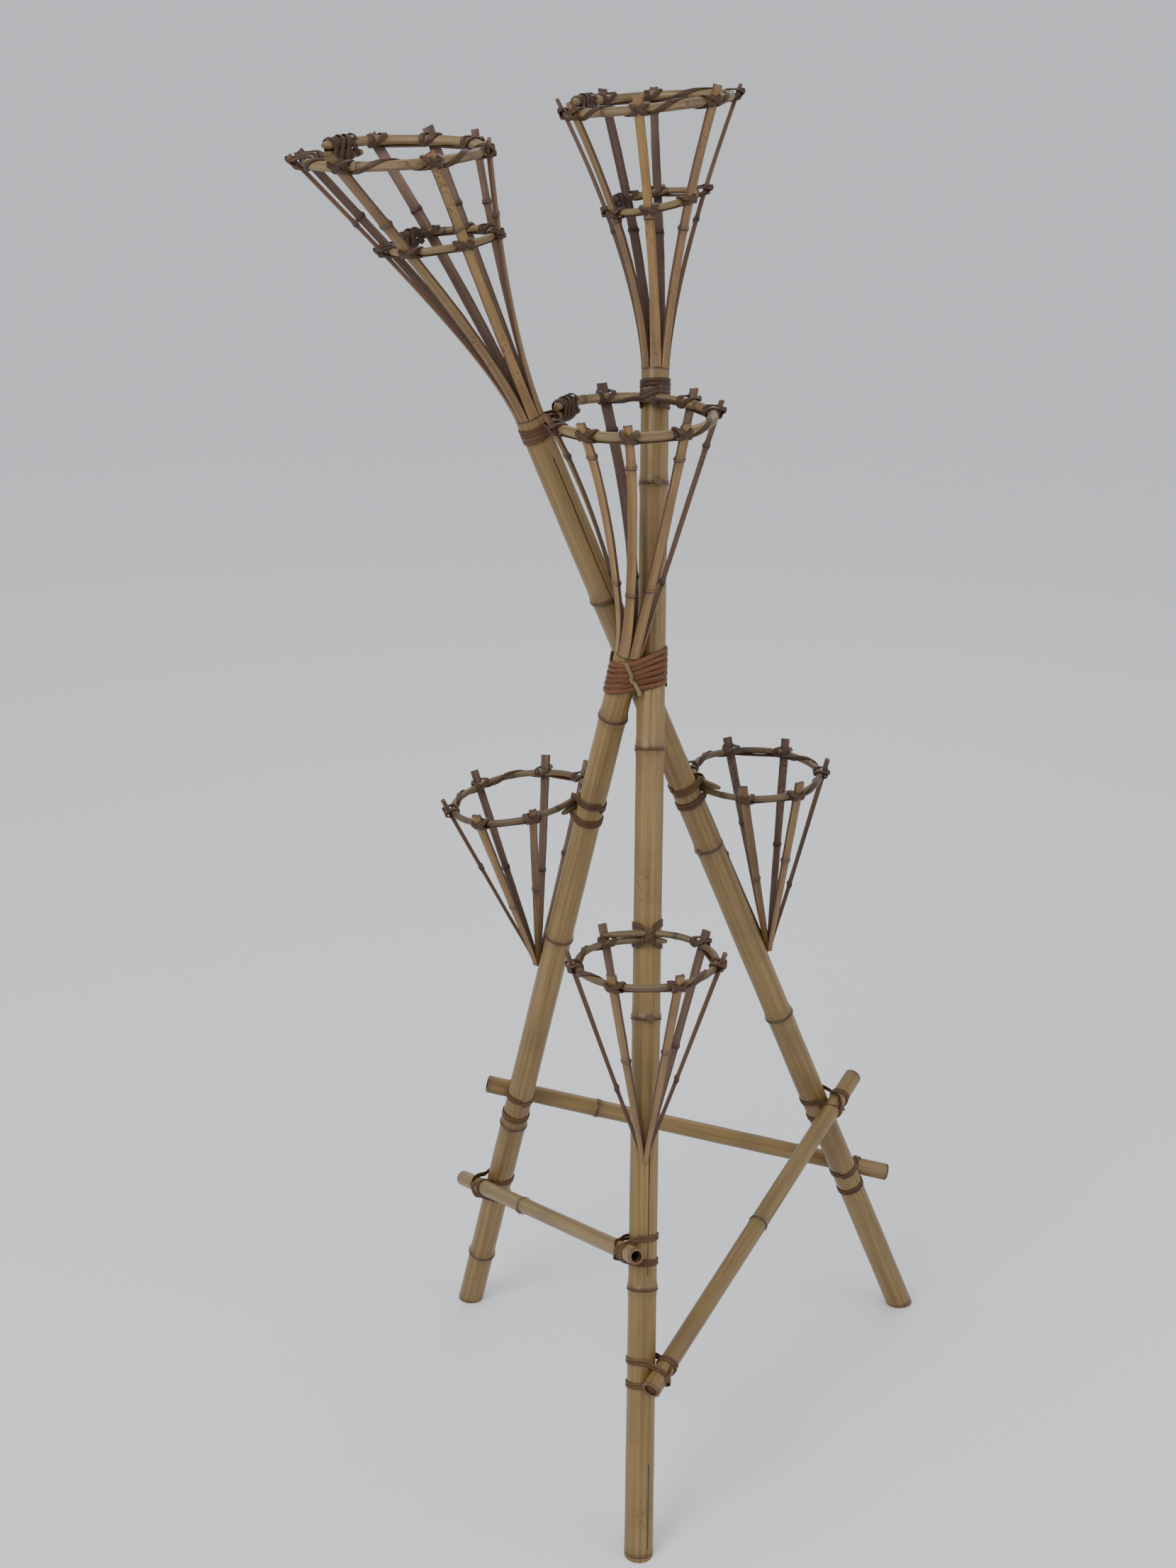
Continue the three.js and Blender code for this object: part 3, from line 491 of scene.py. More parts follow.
@dataclass
class Winding:
    """Turns of flat cane side by side round rods, in planes square to a direction."""

    normal: Array
    turns: int
    offset: float = 0.0
    width: float = 4.4 * MM
    pitch: float = 4.7 * MM
    lift: float = 0.8 * MM
    thickness: float = 1.4 * MM

    def weave(self, weave: Weave, rods: Sequence[Rod], centre: Array, rng: np.random.Generator) -> None:
        """Adds the turns to a piece, one long cane."""
        plane = Plane(self.normal)
        steps = 72
        loops = []
        for turn in range(self.turns + 1):
            level = self.offset + (turn - self.turns / 2) * self.pitch
            lift = self.lift + rng.uniform(-0.2, 0.35) * MM
            loops.append(boundary(rods, centre + plane.normal * level, plane, lift, steps))
        share = np.arange(steps)[:, None] / steps
        rows = [loops[i] * (1 - share) + loops[i + 1] * share for i in range(self.turns)]
        self.lay(weave, np.vstack(rows), rng)

    def lay(self, weave: Weave, path: Array, rng: np.random.Generator) -> None:
        """Adds the cane along its whole path."""
        travel = unit(np.gradient(path, axis=0))
        outwards = np.cross(travel, unit(self.normal))
        outwards *= np.sign(np.sum(outwards * (path - path.mean(axis=0)), axis=1, keepdims=True))
        width = self.width * (1 + 0.05 * np.sin(np.arange(len(path)) / 23 + rng.uniform(0, 6)))
        sections = np.array([strip_section(w, self.thickness) for w in width])
        weave.sweep(path, outwards, sections, tone=rng.uniform(0.2, 0.8))


@dataclass
class Saddle(Winding):
    """Turns that lie in two bands behind a pole and cross over the rod on its face."""

    held: list[Rod] = field(default_factory=list)
    spread: float = 10 * MM
    crossing: float = 24 * MM

    def weave(self, weave: Weave, rods: Sequence[Rod], centre: Array, rng: np.random.Generator) -> None:
        """Adds the turns to a piece, one long cane.

        Args:
            weave: The piece.
            rods: The pole alone.
            centre: Where the pole and the rod touch.
            rng: The piece's own randomness.
        """
        plane = Plane(self.normal)
        steps = 96
        core = [Rod(rod.point, plane.normal, 0.5 * MM) for rod in self.held]
        full = [Rod(rod.point, plane.normal, rod.radius) for rod in self.held]
        face = np.mean([rod.point for rod in self.held], axis=0) - rods[0].point
        face -= rods[0].direction * face.dot(rods[0].direction)
        loops = []
        for held, lift in ((core, self.lift), (full, self.lift), (full, self.lift + self.thickness)):
            loop = boundary([*rods, *held], centre, plane, lift, steps)
            loops.append(np.roll(loop, steps // 2 - int((loop @ face).argmax()), axis=0))
        inner, outer, over = loops
        along = travelled(outer)
        across = np.clip((along - along[steps // 2]) / self.crossing, -1, 1)
        fall = -np.sin(across * math.pi / 2)[:, None]
        reach = self.held[0].radius + self.lift
        rows = []
        for turn in range(2 * self.turns):
            side = 1 - 2 * (turn % 2)
            top = outer if side > 0 else outer + (over - outer) * np.cos(across * math.pi / 2)[:, None]
            level = fall * self.spread * side
            full_share = np.sqrt(np.clip(1 - (level / reach) ** 2, 0, 1))
            progress = (turn + np.arange(steps)[:, None] / steps) / 2
            drift = (progress - self.turns / 2) * self.pitch
            rows.append(inner + (top - inner) * full_share + plane.normal * (level + drift))
        self.lay(weave, np.vstack(rows), rng)


@dataclass
class Lashing:
    """A cane lashing that replaces one or more nodes of the frame."""

    name: str
    rods: list[Rod]
    centre: Array
    windings: list[tuple[Winding, list[Rod]]]

    def build(self, finish: bpy.types.Material) -> bpy.types.Object:
        """Winds the canes and makes the piece."""
        rng = seeded(self.name)
        weave = Weave()
        for winding, rods in self.windings:
            winding.weave(weave, rods or self.rods, self.centre, rng)
        return weave.to_object(self.name, [finish])


# Hoops and the canes wound round them

@dataclass
class SlatCrossing:
    """Where a slat stands against a hoop."""

    azimuth: float
    skin: float
    slope: float


@dataclass
class Hoop:
    """A hoop of round cane with lapped ends, and the flat cane that binds it to its slats."""

    name: str
    line: HoopLine
    crossings: list[SlatCrossing]
    lap_half: float = 17.0
    strip: float = 5.8 * MM
    turn_length: float = 110 * MM
    wrap_turns: int = 4
    tail_degrees: float = 0.0
    tone: float = 0.7
    bare: list[float] = field(default_factory=list)
    joint_gap: float = 145 * MM
    sides: int = 16

    def build(self, finish: bpy.types.Material, cut: bpy.types.Material) -> bpy.types.Object:
        """Sweeps the hoop along its helix, with slanted ends and small joints."""
        rng = seeded(self.name)
        line = self.line
        ends = (line.lap - self.lap_half, line.lap + 360 + self.lap_half)
        azimuths = np.arange(ends[0], ends[1] + self.tail_degrees, 1.6)
        along = np.radians(azimuths - ends[0]) * line.radius
        wobble = 0.35 * MM * np.sin(np.radians(azimuths) * 5 + rng.uniform(0, 6))
        beyond = np.radians(np.maximum(azimuths - ends[1], 0))
        straight = line.radius * (1 / np.cos(beyond) - 1)
        points = line.at(azimuths, wobble + straight, 0.6 * wobble)
        joints = np.arange(rng.uniform(0.1, 0.9) * self.joint_gap, along[-1], self.joint_gap)
        swell = np.exp(-((nearest_joint(along, joints) / (2.2 * MM)) ** 2)) * 0.07
        taper = 1 - 0.55 * np.exp(-along / (5 * MM)) - 0.55 * np.exp(-(along[-1] - along) / (5 * MM))
        grain = 1 + 0.015 * np.sin(along / (31 * MM) + rng.uniform(0, 6))
        ring = round_section(line.tube * 0.97, self.sides)
        sections = ring[None] * ((taper + swell) * grain)[:, None, None]
        weave = Weave()
        weave.sweep(points, line.plane.radial(azimuths), sections, joints=joints, tone=self.tone, cap_slot=1)
        return weave.to_object(self.name, [finish, cut])

    def bind(self, name: str, finish: bpy.types.Material) -> bpy.types.Object:
        """Winds the flat cane: a cross over each slat, plain turns between, and a wrap on the lap."""
        rng = seeded(name)
        weave = Weave()
        crossings = sorted(self.crossings, key=lambda c: self.line.on_helix(c.azimuth))
        keys: list[Array] = []
        for i, crossing in enumerate(crossings):
            last = i == len(crossings) - 1
            keys += self._cross(crossing, rng)
            if not last:
                keys += self._between(crossing, crossings[i + 1])
        rows = smooth_path(np.array(keys), 4)
        width = self.strip * (1 + 0.08 * np.sin(np.arange(len(rows)) / 37 + rng.uniform(0, 6)))
        sections = np.array([strip_section(w, BINDING_THICKNESS) for w in width])
        weave.sweep(rows[:, :3], rows[:, 3:], sections, tone=rng.uniform(0.3, 0.7))
        self._wrap(weave, rng)
        return weave.to_object(name, [finish])

    def _key(self, azimuth: float, out: float, up: float, normal: tuple[float, float]) -> Array:
        """Returns one point of the cane's path and the way its outer face looks."""
        radial = self.line.plane.radial(azimuth)
        outward = normal[0] * radial + normal[1] * self.line.plane.normal
        return np.concatenate([self.line.at(azimuth, out, up), outward])

    def _round(self, azimuth: float, turn: float, lift: float = 0.0) -> Array:
        """Returns a key on the hoop's own skin, at an angle round it: 0 is out and 90 is up."""
        distance = self.line.tube + CANE_LIFT + lift
        c, s = math.cos(math.radians(turn)), math.sin(math.radians(turn))
        return self._key(azimuth, distance * c, distance * s, (c, s))

    def _cross(self, crossing: SlatCrossing, rng: np.random.Generator) -> list[Array]:
        """Returns the keys of the cross that ties one slat."""
        at = self.line.on_helix(crossing.azimuth)
        reach = self.line.degrees(CROSS_REACH)
        edge = self.line.degrees(CROSS_EDGE)
        rise = self.line.tube * 0.75

        def over(side: float, height: float, lift: float) -> Array:
            """Returns a key on the slat's outer face."""
            out = crossing.skin + crossing.slope * (height + self.line.rise(at)) + lift
            return self._key(at + side, out, height, (1.0, -0.4 * crossing.slope))

        first = [
            self._round(at - reach, -80), over(-edge, -rise, 0), over(0, 0, 0), over(edge, rise, 0),
            self._round(at + reach, 80), self._round(at + reach, 130), self._round(at + reach, 180),
            self._round(at + reach, 230), self._round(at + reach, 280, 0.6 * MM),
        ]
        top = 1.3 * MM
        second = [
            over(edge, -rise, top), over(0, 0, top), over(-edge, rise, top),
            self._round(at - reach, 440, 0.6 * MM), self._round(at - 0.8 * reach, 490, 0.6 * MM),
            self._round(at, 540, 1.0 * MM), self._round(at + 0.8 * reach, 590, 0.6 * MM),
            self._round(at + 1.1 * reach, 630),
        ]
        return first + second

    def _between(self, here: SlatCrossing, there: SlatCrossing) -> list[Array]:
        """Returns the keys of the plain turns between two slats."""
        reach = self.line.degrees(CROSS_REACH)
        first = self.line.on_helix(here.azimuth) + 1.1 * reach
        last = self.line.on_helix(there.azimuth) - reach
        culms = [at for at in map(self.line.on_helix, self.bare) if first < at < last]
        if culms:
            near, far = culms[0] - 2.4 * reach, culms[0] + 2.4 * reach
            return [
                self._round(0.6 * first + 0.4 * near, 180, 0.3 * MM), self._round(near, 180, 0.3 * MM),
                self._round(culms[0], 180, 0.3 * MM), self._round(far, 180, 0.3 * MM),
                self._round(0.4 * far + 0.6 * last, 230),
            ]
        turns = round(math.radians(last - first) * self.line.radius / self.turn_length)
        steps = 8 * turns
        return [
            self._round(first + (last - first) * k / (steps + 1), 270 + 360 * turns * k / (steps + 1))
            for k in range(1, steps + 1)
        ]

    def _wrap(self, weave: Weave, rng: np.random.Generator) -> None:
        """Adds the close turns that hold the lapped ends together."""
        if not self.wrap_turns:
            return
        rods = self.line.rods(self.line.lap, self.lap_half)
        centre = (rods[0].point + rods[-1].point) / 2
        lean = unit(rods[0].direction + 0.4 * self.line.plane.normal)
        back = unit(rods[0].direction - 0.4 * self.line.plane.normal)
        for turns, normal, lift in ((self.wrap_turns, back, 0.8), (self.wrap_turns - 1, lean, 2.1)):
            wrap = Winding(normal, turns, width=self.strip, pitch=self.strip * 1.3, lift=lift * MM)
            wrap.weave(weave, rods, centre, rng)


# Whole canes

@dataclass
class Cane:
    """A whole bamboo cane: a ring drawn up along its own profile, with joints, a hollow and cut ends."""

    name: str
    radius: float
    wall: float
    start: float
    end: float
    joints: list[float]
    hollows: tuple[float, float]
    flute_angles: list[float] = field(default_factory=list)
    cracks: list[tuple[float, float, float]] = field(default_factory=list)
    buds: list[tuple[float, float]] = field(default_factory=list)
    taper: float = 0.0
    sides: int = 72
    internode_step: float = 32 * MM
    joint_profile: tuple[tuple[float, float], ...] = (
        (-15, 0.0), (-8, 0.3), (-3.4, 0.8), (-2.2, 1.9), (-1.3, 2.0), (-0.6, 0.9), (0.1, 0.8),
        (0.9, 1.6), (1.9, 1.4), (4.2, 0.7), (9, 0.2), (16, 0.0),
    )

    def profile(self) -> list[tuple[float, float]]:
        """Returns (radius, length) pairs from the bottom of one hollow round to the bottom of the other."""
        rng = seeded(self.name)
        scale = self.radius / (16 * MM)
        outer = {}
        for z in np.arange(self.start + 18 * MM, self.end - 12 * MM, self.internode_step):
            if min([abs(z - joint) for joint in self.joints] or [1]) > 20 * MM:
                outer[z] = self.radius + rng.uniform(-0.15, 0.15) * MM
        for joint in self.joints:
            for offset, rise in self.joint_profile:
                z = joint + offset * MM * scale
                if self.start + 16 * MM < z < self.end - 4 * MM:
                    outer[z] = self.radius + rise * MM * scale
        inner, tiny, chamfer = self.radius - self.wall, self.radius * 0.02, 0.7 * MM
        bottom, top = self.start + self.hollows[0], self.end - self.hollows[1]
        low = [(tiny, bottom), (inner, bottom), (inner, self.start), (self.radius - chamfer, self.start)]
        low.append((self.radius, self.start + chamfer))
        high = [(self.radius, self.end - chamfer), (self.radius - chamfer, self.end)]
        high += [(inner, self.end), (inner, top), (tiny, top)]
        return low + [(outer[z], z) for z in sorted(outer)] + high

    def draw(self) -> bpy.types.Object:
        """Draws the ring up along the profile and closes both ends."""
        profile = self.profile()
        radius, z = profile[0]
        bpy.ops.object.select_all(action="DESELECT")
        bpy.ops.mesh.primitive_circle_add(vertices=self.sides, radius=radius, location=(0, 0, z))
        piece = bpy.context.object
        piece.name = piece.data.name = self.name
        bpy.ops.object.transform_apply(location=True, rotation=True, scale=True)
        bpy.ops.object.mode_set(mode="EDIT")
        bpy.ops.mesh.select_all(action="SELECT")
        bpy.ops.mesh.edge_face_add()
        bpy.ops.mesh.select_all(action="SELECT")
        for next_radius, next_z in profile[1:]:
            bpy.ops.mesh.extrude_region_move(TRANSFORM_OT_translate={"value": (0, 0, next_z - z)})
            ratio = next_radius / radius
            bpy.ops.transform.resize(value=(ratio, ratio, 1), center_override=(0, 0, next_z))
            radius, z = next_radius, next_z
        bpy.ops.mesh.select_all(action="SELECT")
        bpy.ops.mesh.normals_make_consistent(inside=False)
        bpy.ops.object.mode_set(mode="OBJECT")
        return piece

    def build(
        self, line: Rod, finishes: Sequence[bpy.types.Material], ground: bool = False,
    ) -> bpy.types.Object:
        """Makes the cane and lays it along a line.

        Args:
            line: The middle line, from where lengths are counted.
            finishes: The materials of the skin, the cut ends and the inside.
            ground: Whether the lower end is cut level with the ground.
        """
        piece = self.draw()
        mesh = piece.data
        local = np.empty(len(mesh.vertices) * 3)
        mesh.vertices.foreach_get("co", local)
        local = local.reshape(-1, 3)
        angle, z = np.arctan2(local[:, 1], local[:, 0]), local[:, 2].copy()
        self._map(mesh, local, angle)
        crack = np.ones(len(z))
        for degrees, low, high in self.cracks:
            away = np.abs((angle - math.radians(degrees) + math.pi) % (2 * math.pi) - math.pi) * self.radius
            beyond = np.maximum(0, np.maximum(low - z, z - high))
            crack = np.minimum(crack, away + beyond)
        edges = [self.end, self.start + (FOOT_EXTRA if ground else 0)]
        tones = np.full(len(z), seeded(self.name).uniform(0.35, 0.65))
        write_marks(mesh, nearest_joint(z, [*self.joints, *edges]), tones, crack)
        shaped = self._shape(local, angle)
        out = unit(np.array([0.0, -1.0, 0.0]) + line.direction * line.direction[1])
        basis = np.column_stack([out, np.cross(line.direction, out), line.direction])
        world = shaped @ basis.T + line.point
        if ground:
            below = world[:, 2] < 0
            world[below] -= line.direction * (world[below, 2:] / line.direction[2])
        mesh.vertices.foreach_set("co", world.ravel())
        for finish in finishes:
            mesh.materials.append(finish)
        mesh.update()
        smooth(piece)
        buds = [self._bud(at, degrees, basis, line, finishes) for at, degrees in self.buds]
        return merge_pieces([piece, *buds])

    def _bud(
        self, along: float, degrees: float, basis: Array, line: Rod, finishes: Sequence[bpy.types.Material],
    ) -> bpy.types.Object:
        """Makes a dried bud on a joint: a small dark bump, flatter than it is wide."""
        turn = math.radians(degrees)
        out = basis @ np.array([math.cos(turn), math.sin(turn), 0.0])
        bpy.ops.object.select_all(action="DESELECT")
        bpy.ops.mesh.primitive_uv_sphere_add(segments=20, ring_count=12, radius=4.2 * MM)
        bud = bpy.context.object
        mesh = bud.data
        mesh.uv_layers[0].name = GRAIN_MAP
        ball = np.empty(len(mesh.vertices) * 3)
        mesh.vertices.foreach_get("co", ball)
        ball = ball.reshape(-1, 3)
        ripple = 1 + 0.12 * np.sin(ball[:, :1] / (1.1 * MM))
        axes = np.vstack([out * 0.55, np.cross(line.direction, out), line.direction * 1.25])
        place = line.point + line.direction * along + out * self.radius * 1.03
        mesh.vertices.foreach_set("co", ((ball * ripple) @ axes + place).ravel())
        count = len(ball)
        write_marks(mesh, np.zeros(count), np.zeros(count), np.full(count, 1.2 * MM))
        for finish in finishes:
            mesh.materials.append(finish)
        smooth(bud)
        return bud

    def _map(self, mesh: bpy.types.Mesh, local: Array, angle: Array) -> None:
        """Gives the mesh its grain map and the finish of each face."""
        grain = mesh.uv_layers.new(name=GRAIN_MAP) if not mesh.uv_layers else mesh.uv_layers[0]
        grain.name = GRAIN_MAP
        inner = self.radius - self.wall
        for face in mesh.polygons:
            centre, normal = face.center, face.normal
            flat = abs(normal.z) > 0.9
            inside = math.hypot(centre.x, centre.y) < inner + 0.3 * self.wall
            face.material_index = 1 if flat and not inside else 2 if inside else 0
            first = angle[face.vertices[0]]
            for loop, vertex in zip(face.loop_indices, face.vertices):
                turned = (angle[vertex] - first + math.pi) % (2 * math.pi) - math.pi + first
                x, y, z = local[vertex]
                grain.data[loop].uv = (x, y) if flat else (turned * self.radius, z)

    def _shape(self, local: Array, angle: Array) -> Array:
        """Returns the points as uneven as a grown cane: not quite round, and fluted over joints."""
        rng = seeded(self.name)
        z = local[:, 2]
        span = np.clip(z, self.start, self.end)
        oval = 0.012 * np.cos(2 * angle + rng.uniform(0, 6))
        oval = oval + 0.006 * np.sin(span / (170 * MM) + rng.uniform(0, 6))
        flute = np.zeros(len(z))
        for joint, degrees in zip(self.joints, self.flute_angles):
            away = (angle - math.radians(degrees) + math.pi) % (2 * math.pi) - math.pi
            above = np.clip((z - joint) / (6 * MM), 0, 1) * np.exp(-np.maximum(z - joint, 0) / (190 * MM))
            ripple = 0.75 + 0.3 * np.cos(15 * away)
            flute += 0.12 * np.exp(-((away / 0.42) ** 2)) * ripple * above
        outer = np.hypot(local[:, 0], local[:, 1]) > self.radius - 0.5 * self.wall
        factor = np.where(outer, 1 + oval - flute, 1.0)
        factor *= 1 + self.taper * thickening(z)
        return local * np.column_stack([factor, factor, np.ones(len(z))])


def merge_pieces(pieces: Sequence[bpy.types.Object]) -> bpy.types.Object:
    """Joins pieces that are grown from one cane into the first."""
    bpy.ops.object.select_all(action="DESELECT")
    for piece in pieces:
        piece.select_set(True)
    bpy.context.view_layer.objects.active = pieces[0]
    bpy.ops.object.join()
    return pieces[0]


@dataclass
class Slat:
    """A slat split from a culm, along a path with its joints."""

    path: Array
    outwards: Array
    widths: Array
    thicknesses: Array
    joints: list[float]
    culm_radius: float
    start: float = 0.0

    def weave(self, weave: Weave, rng: np.random.Generator) -> None:
        """Adds the slat to a piece, with a swelling at each joint and slightly uneven edges."""
        along = travelled(self.path)
        near = nearest_joint(along, self.joints)
        swell = np.exp(-((near / (2.6 * MM)) ** 2))
        uneven = 1 + 0.03 * np.sin(along / (17 * MM) + rng.uniform(0, 6)) + 0.02 * np.sin(along / (7 * MM))
        widths = self.widths * uneven * (1 + 0.18 * swell)
        thicknesses = self.thicknesses * (1 + 0.6 * swell)
        sections = np.array([slat_section(w, t, self.culm_radius) for w, t in zip(widths, thicknesses)])
        weave.sweep(
            self.path, self.outwards, sections, slat_faces(), self.joints,
            tone=rng.uniform(0.15, 0.9), start=self.start, cap_slot=Face.EDGE.value,
        )


def dense(values: Iterable[float], marks: Iterable[float], low: float, high: float, step: float) -> Array:
    """Returns places along a slat: even ones, and close ones about each mark."""
    offsets = (-2, -1.2, -0.6, -0.25, 0, 0.25, 0.6, 1.2, 2)
    close = [mark + offset * step for mark in marks for offset in offsets]
    return np.array(sorted({round(v, 6) for v in [*values, *close] if low <= v <= high}))


@dataclass
class Crown:
    """A leg's top, split into slats that bend outwards to a rim hoop."""

    pole: Pole
    rim: HoopLine
    split: float
    turn: float
    azimuths: list[float]
    joint_heights: list[float]
    stands: list[float]
    wall: float = 4 * MM
    slat_width: float = 11 * MM
    slat_thickness: float = 3.7 * MM
    kerf_degrees: float = 5.0
    spread_power: float = 1.5
    settle_share: float = 0.3
    clearance: float = 0.9 * MM

    def __post_init__(self) -> None:
        """Works out how far each slat has to reach."""
        self.root = self.pole.at(self.split)
        top = self.pole.at(self.rim.centre[2])
        self.straight = top - self.root
        self.drift = self.rim.centre - top
        self.wall_middle = self.pole.radius - self.wall / 2
        self.reach = [self._reach(azimuth) for azimuth in self.azimuths]

    def _reach(self, azimuth: float) -> float:
        """Returns how far from the rim's centre a slat stands."""
        out, up = self.rim.plane.radial(azimuth), self.rim.plane.normal
        growth = self.spread_power * (self.rim.radius + self.rim.tube - self.wall_middle)
        travel = self.straight + self.drift * self.spread_power
        slope = (growth + travel.dot(out)) / travel.dot(up)
        standoff = (self.rim.tube + self.clearance + self.slat_thickness / 2) * math.hypot(1, slope)
        return self.rim.radius + standoff - slope * self.rim.rise(self.rim.on_helix(azimuth))

    def centre(self, share: float) -> Array:
        """Returns the crown's middle at a share of its height."""
        return self.root + self.straight * share + self.drift * max(share, 0) ** self.spread_power

    def outward(self, index: int, share: float) -> Array:
        """Returns the direction from the middle to a slat."""
        s = min(max(share, 0), 1)
        plane = Plane(self.pole.direction * (1 - s) + self.rim.plane.normal * s)
        root = self.turn + index * 360 / len(self.azimuths)
        return plane.radial(root + (self.azimuths[index] - root) * (1 - (1 - s) ** 2))

    def point(self, index: int, share: float) -> Array:
        """Returns a point of a slat's middle line."""
        spread = max(share, 0) ** self.spread_power
        distance = self.wall_middle + (self.reach[index] - self.wall_middle) * spread
        return self.centre(share) + self.outward(index, share) * distance

    def crossing(self, index: int, hoop: HoopLine) -> SlatCrossing:
        """Returns where a slat passes a hoop's plane."""
        low, high = 0.0, 1.2
        for _ in range(40):
            middle = (low + high) / 2
            above = (self.point(index, middle) - hoop.centre).dot(hoop.plane.normal) > 0
            low, high = (low, middle) if above else (middle, high)
        offset = self.point(index, low) - hoop.centre
        travel = self.point(index, low + 0.01) - self.point(index, low)
        return hoop.crossing(offset, travel, self.slat_thickness)

    def build(self, name: str, finishes: Sequence[bpy.types.Material]) -> bpy.types.Object:
        """Makes all the slats as one piece."""
        rng = seeded(name)
        weave = Weave()
        length = float(np.linalg.norm(self.straight))
        half = math.radians(180 / len(self.azimuths) - self.kerf_degrees / 2)
        root_width = 2 * self.pole.radius * math.sin(half)
        for index in range(len(self.azimuths)):
            marks = [
                (height - self.split) / self.straight[2] + rng.uniform(-0.03, 0.03)
                for height in self.joint_heights
            ]
            top = 1 + self.stands[index] * MM / length
            even = [-0.002, *np.linspace(0.03, 1, 18), top]
            shares = dense(even, marks, -0.002, top, SLAT_STEP / length)
            path = np.array([self.point(index, s) for s in shares])
            outwards = np.array([self.outward(index, s) for s in shares])
            along = travelled(path)
            settled = np.clip(shares / self.settle_share, 0, 1)
            widths = root_width + (self.slat_width * rng.uniform(0.86, 1.08) - root_width) * settled
            thicknesses = self.wall + (self.slat_thickness - self.wall) * settled
            joints = [float(np.interp(mark, shares, along)) for mark in marks]
            start = self.pole.length_to(self.split)
            slat = Slat(path, outwards, widths, thicknesses, joints, self.pole.radius, start)
            slat.weave(weave, rng)
        return weave.to_object(name, finishes)


@dataclass
class Basket:
    """A cone basket: six slats that gather in a leg, held by a hoop."""

    name: str
    hoop: HoopLine
    slat_points: list[Array]
    joint_shares: list[float]
    culm_radius: float
    pole: Pole
    top_width: float = 10.2 * MM
    tip_width: float = 6 * MM
    top_thickness: float = 4.4 * MM
    tip_thickness: float = 3.2 * MM
    ring_points: int = 4

    def __post_init__(self) -> None:
        """Finds each slat's middle line, from its tip up."""
        self.lines = []
        for points in self.slat_points:
            ordered = points[np.argsort(points[:, 2])]
            rings = ordered.reshape(-1, self.ring_points, 3)
            self.lines.append(rings.mean(axis=1))
        self.middles = np.mean(self.lines, axis=0)

    def crossing(self, index: int) -> SlatCrossing:
        """Returns where a slat passes the hoop's plane."""
        below, above = self.lines[index][-2], self.lines[index][-1]
        travel = above - below
        share = (self.hoop.centre - below).dot(self.hoop.plane.normal) / travel.dot(self.hoop.plane.normal)
        offset = below + travel * share - self.hoop.centre
        return self.hoop.crossing(offset, travel, self.top_thickness)

    def build_slat(self, index: int, finishes: Sequence[bpy.types.Material]) -> bpy.types.Object:
        """Makes one slat."""
        name = f"{self.name}_slat_{index + 1}"
        rng = seeded(name)
        keys = self.lines[index]
        ideal = smooth_path(np.hstack([keys, keys - self.middles]), 8)
        bundle = ideal[:, :3] - ideal[:, 3:]
        offset = bundle - self.pole.point
        offset -= np.outer(offset @ self.pole.direction, self.pole.direction)
        sunk = np.linalg.norm(offset, axis=1) < self.pole.radius + 3 * MM
        ideal = ideal[~sunk]
        along = travelled(ideal[:, :3])
        share = self.joint_shares[index]
        places = dense(np.linspace(0, along[-1], 26), [share * along[-1]], 0, along[-1], SLAT_STEP)
        rows = np.column_stack([np.interp(places, along, ideal[:, k]) for k in range(6)])
        grown = places / along[-1]
        widths = self.tip_width + (self.top_width * rng.uniform(0.88, 1.08) - self.tip_width) * grown**0.7
        thicknesses = self.tip_thickness + (self.top_thickness - self.tip_thickness) * grown
        weave = Weave()
        joints = [share * along[-1]]
        slat = Slat(rows[:, :3], unit(rows[:, 3:]), widths, thicknesses, joints, self.culm_radius)
        slat.weave(weave, rng)
        return weave.to_object(name, finishes)


# Finishes

def linear(hex_colour: str) -> tuple[float, float, float, float]:
    """Turns an sRGB hex colour into linear red, green, blue and alpha."""
    parts = [int(hex_colour[i:i + 2], 16) / 255 for i in (1, 3, 5)]
    red, green, blue = (p / 12.92 if p <= 0.04045 else ((p + 0.055) / 1.055) ** 2.4 for p in parts)
    return red, green, blue, 1.0


def add(tree: bpy.types.NodeTree, kind: str, inputs: dict | None = None, **settings) -> bpy.types.Node:
    """Adds a shader node.

    Args:
        tree: The material's node tree.
        kind: The node's type.
        inputs: A value or another node's output for each named or numbered input.
        settings: The node's own properties.
    Returns:
        The node.
    """
    node = tree.nodes.new(kind)
    for key, value in settings.items():
        setattr(node, key, value)
    for socket, value in (inputs or {}).items():
        if isinstance(value, bpy.types.NodeSocket):
            tree.links.new(value, node.inputs[socket])
        else:
            node.inputs[socket].default_value = value
    return node


CRACK_COLOUR = "#1d120b"
# How dark a joint is, in millimetres along the grain, over JOINT_SPAN: its two lines and the skin beside them
JOINT_SPAN = 50 * MM
JOINT_STOPS = (
    (-16, 0.0), (-4.5, 0.18), (-3.0, 0.25), (-2.5, 1.0), (-0.6, 0.95), (0.0, 0.3), (0.7, 0.3),
    (1.1, 0.8), (1.9, 0.75), (2.6, 0.3), (12, 0.0),
)


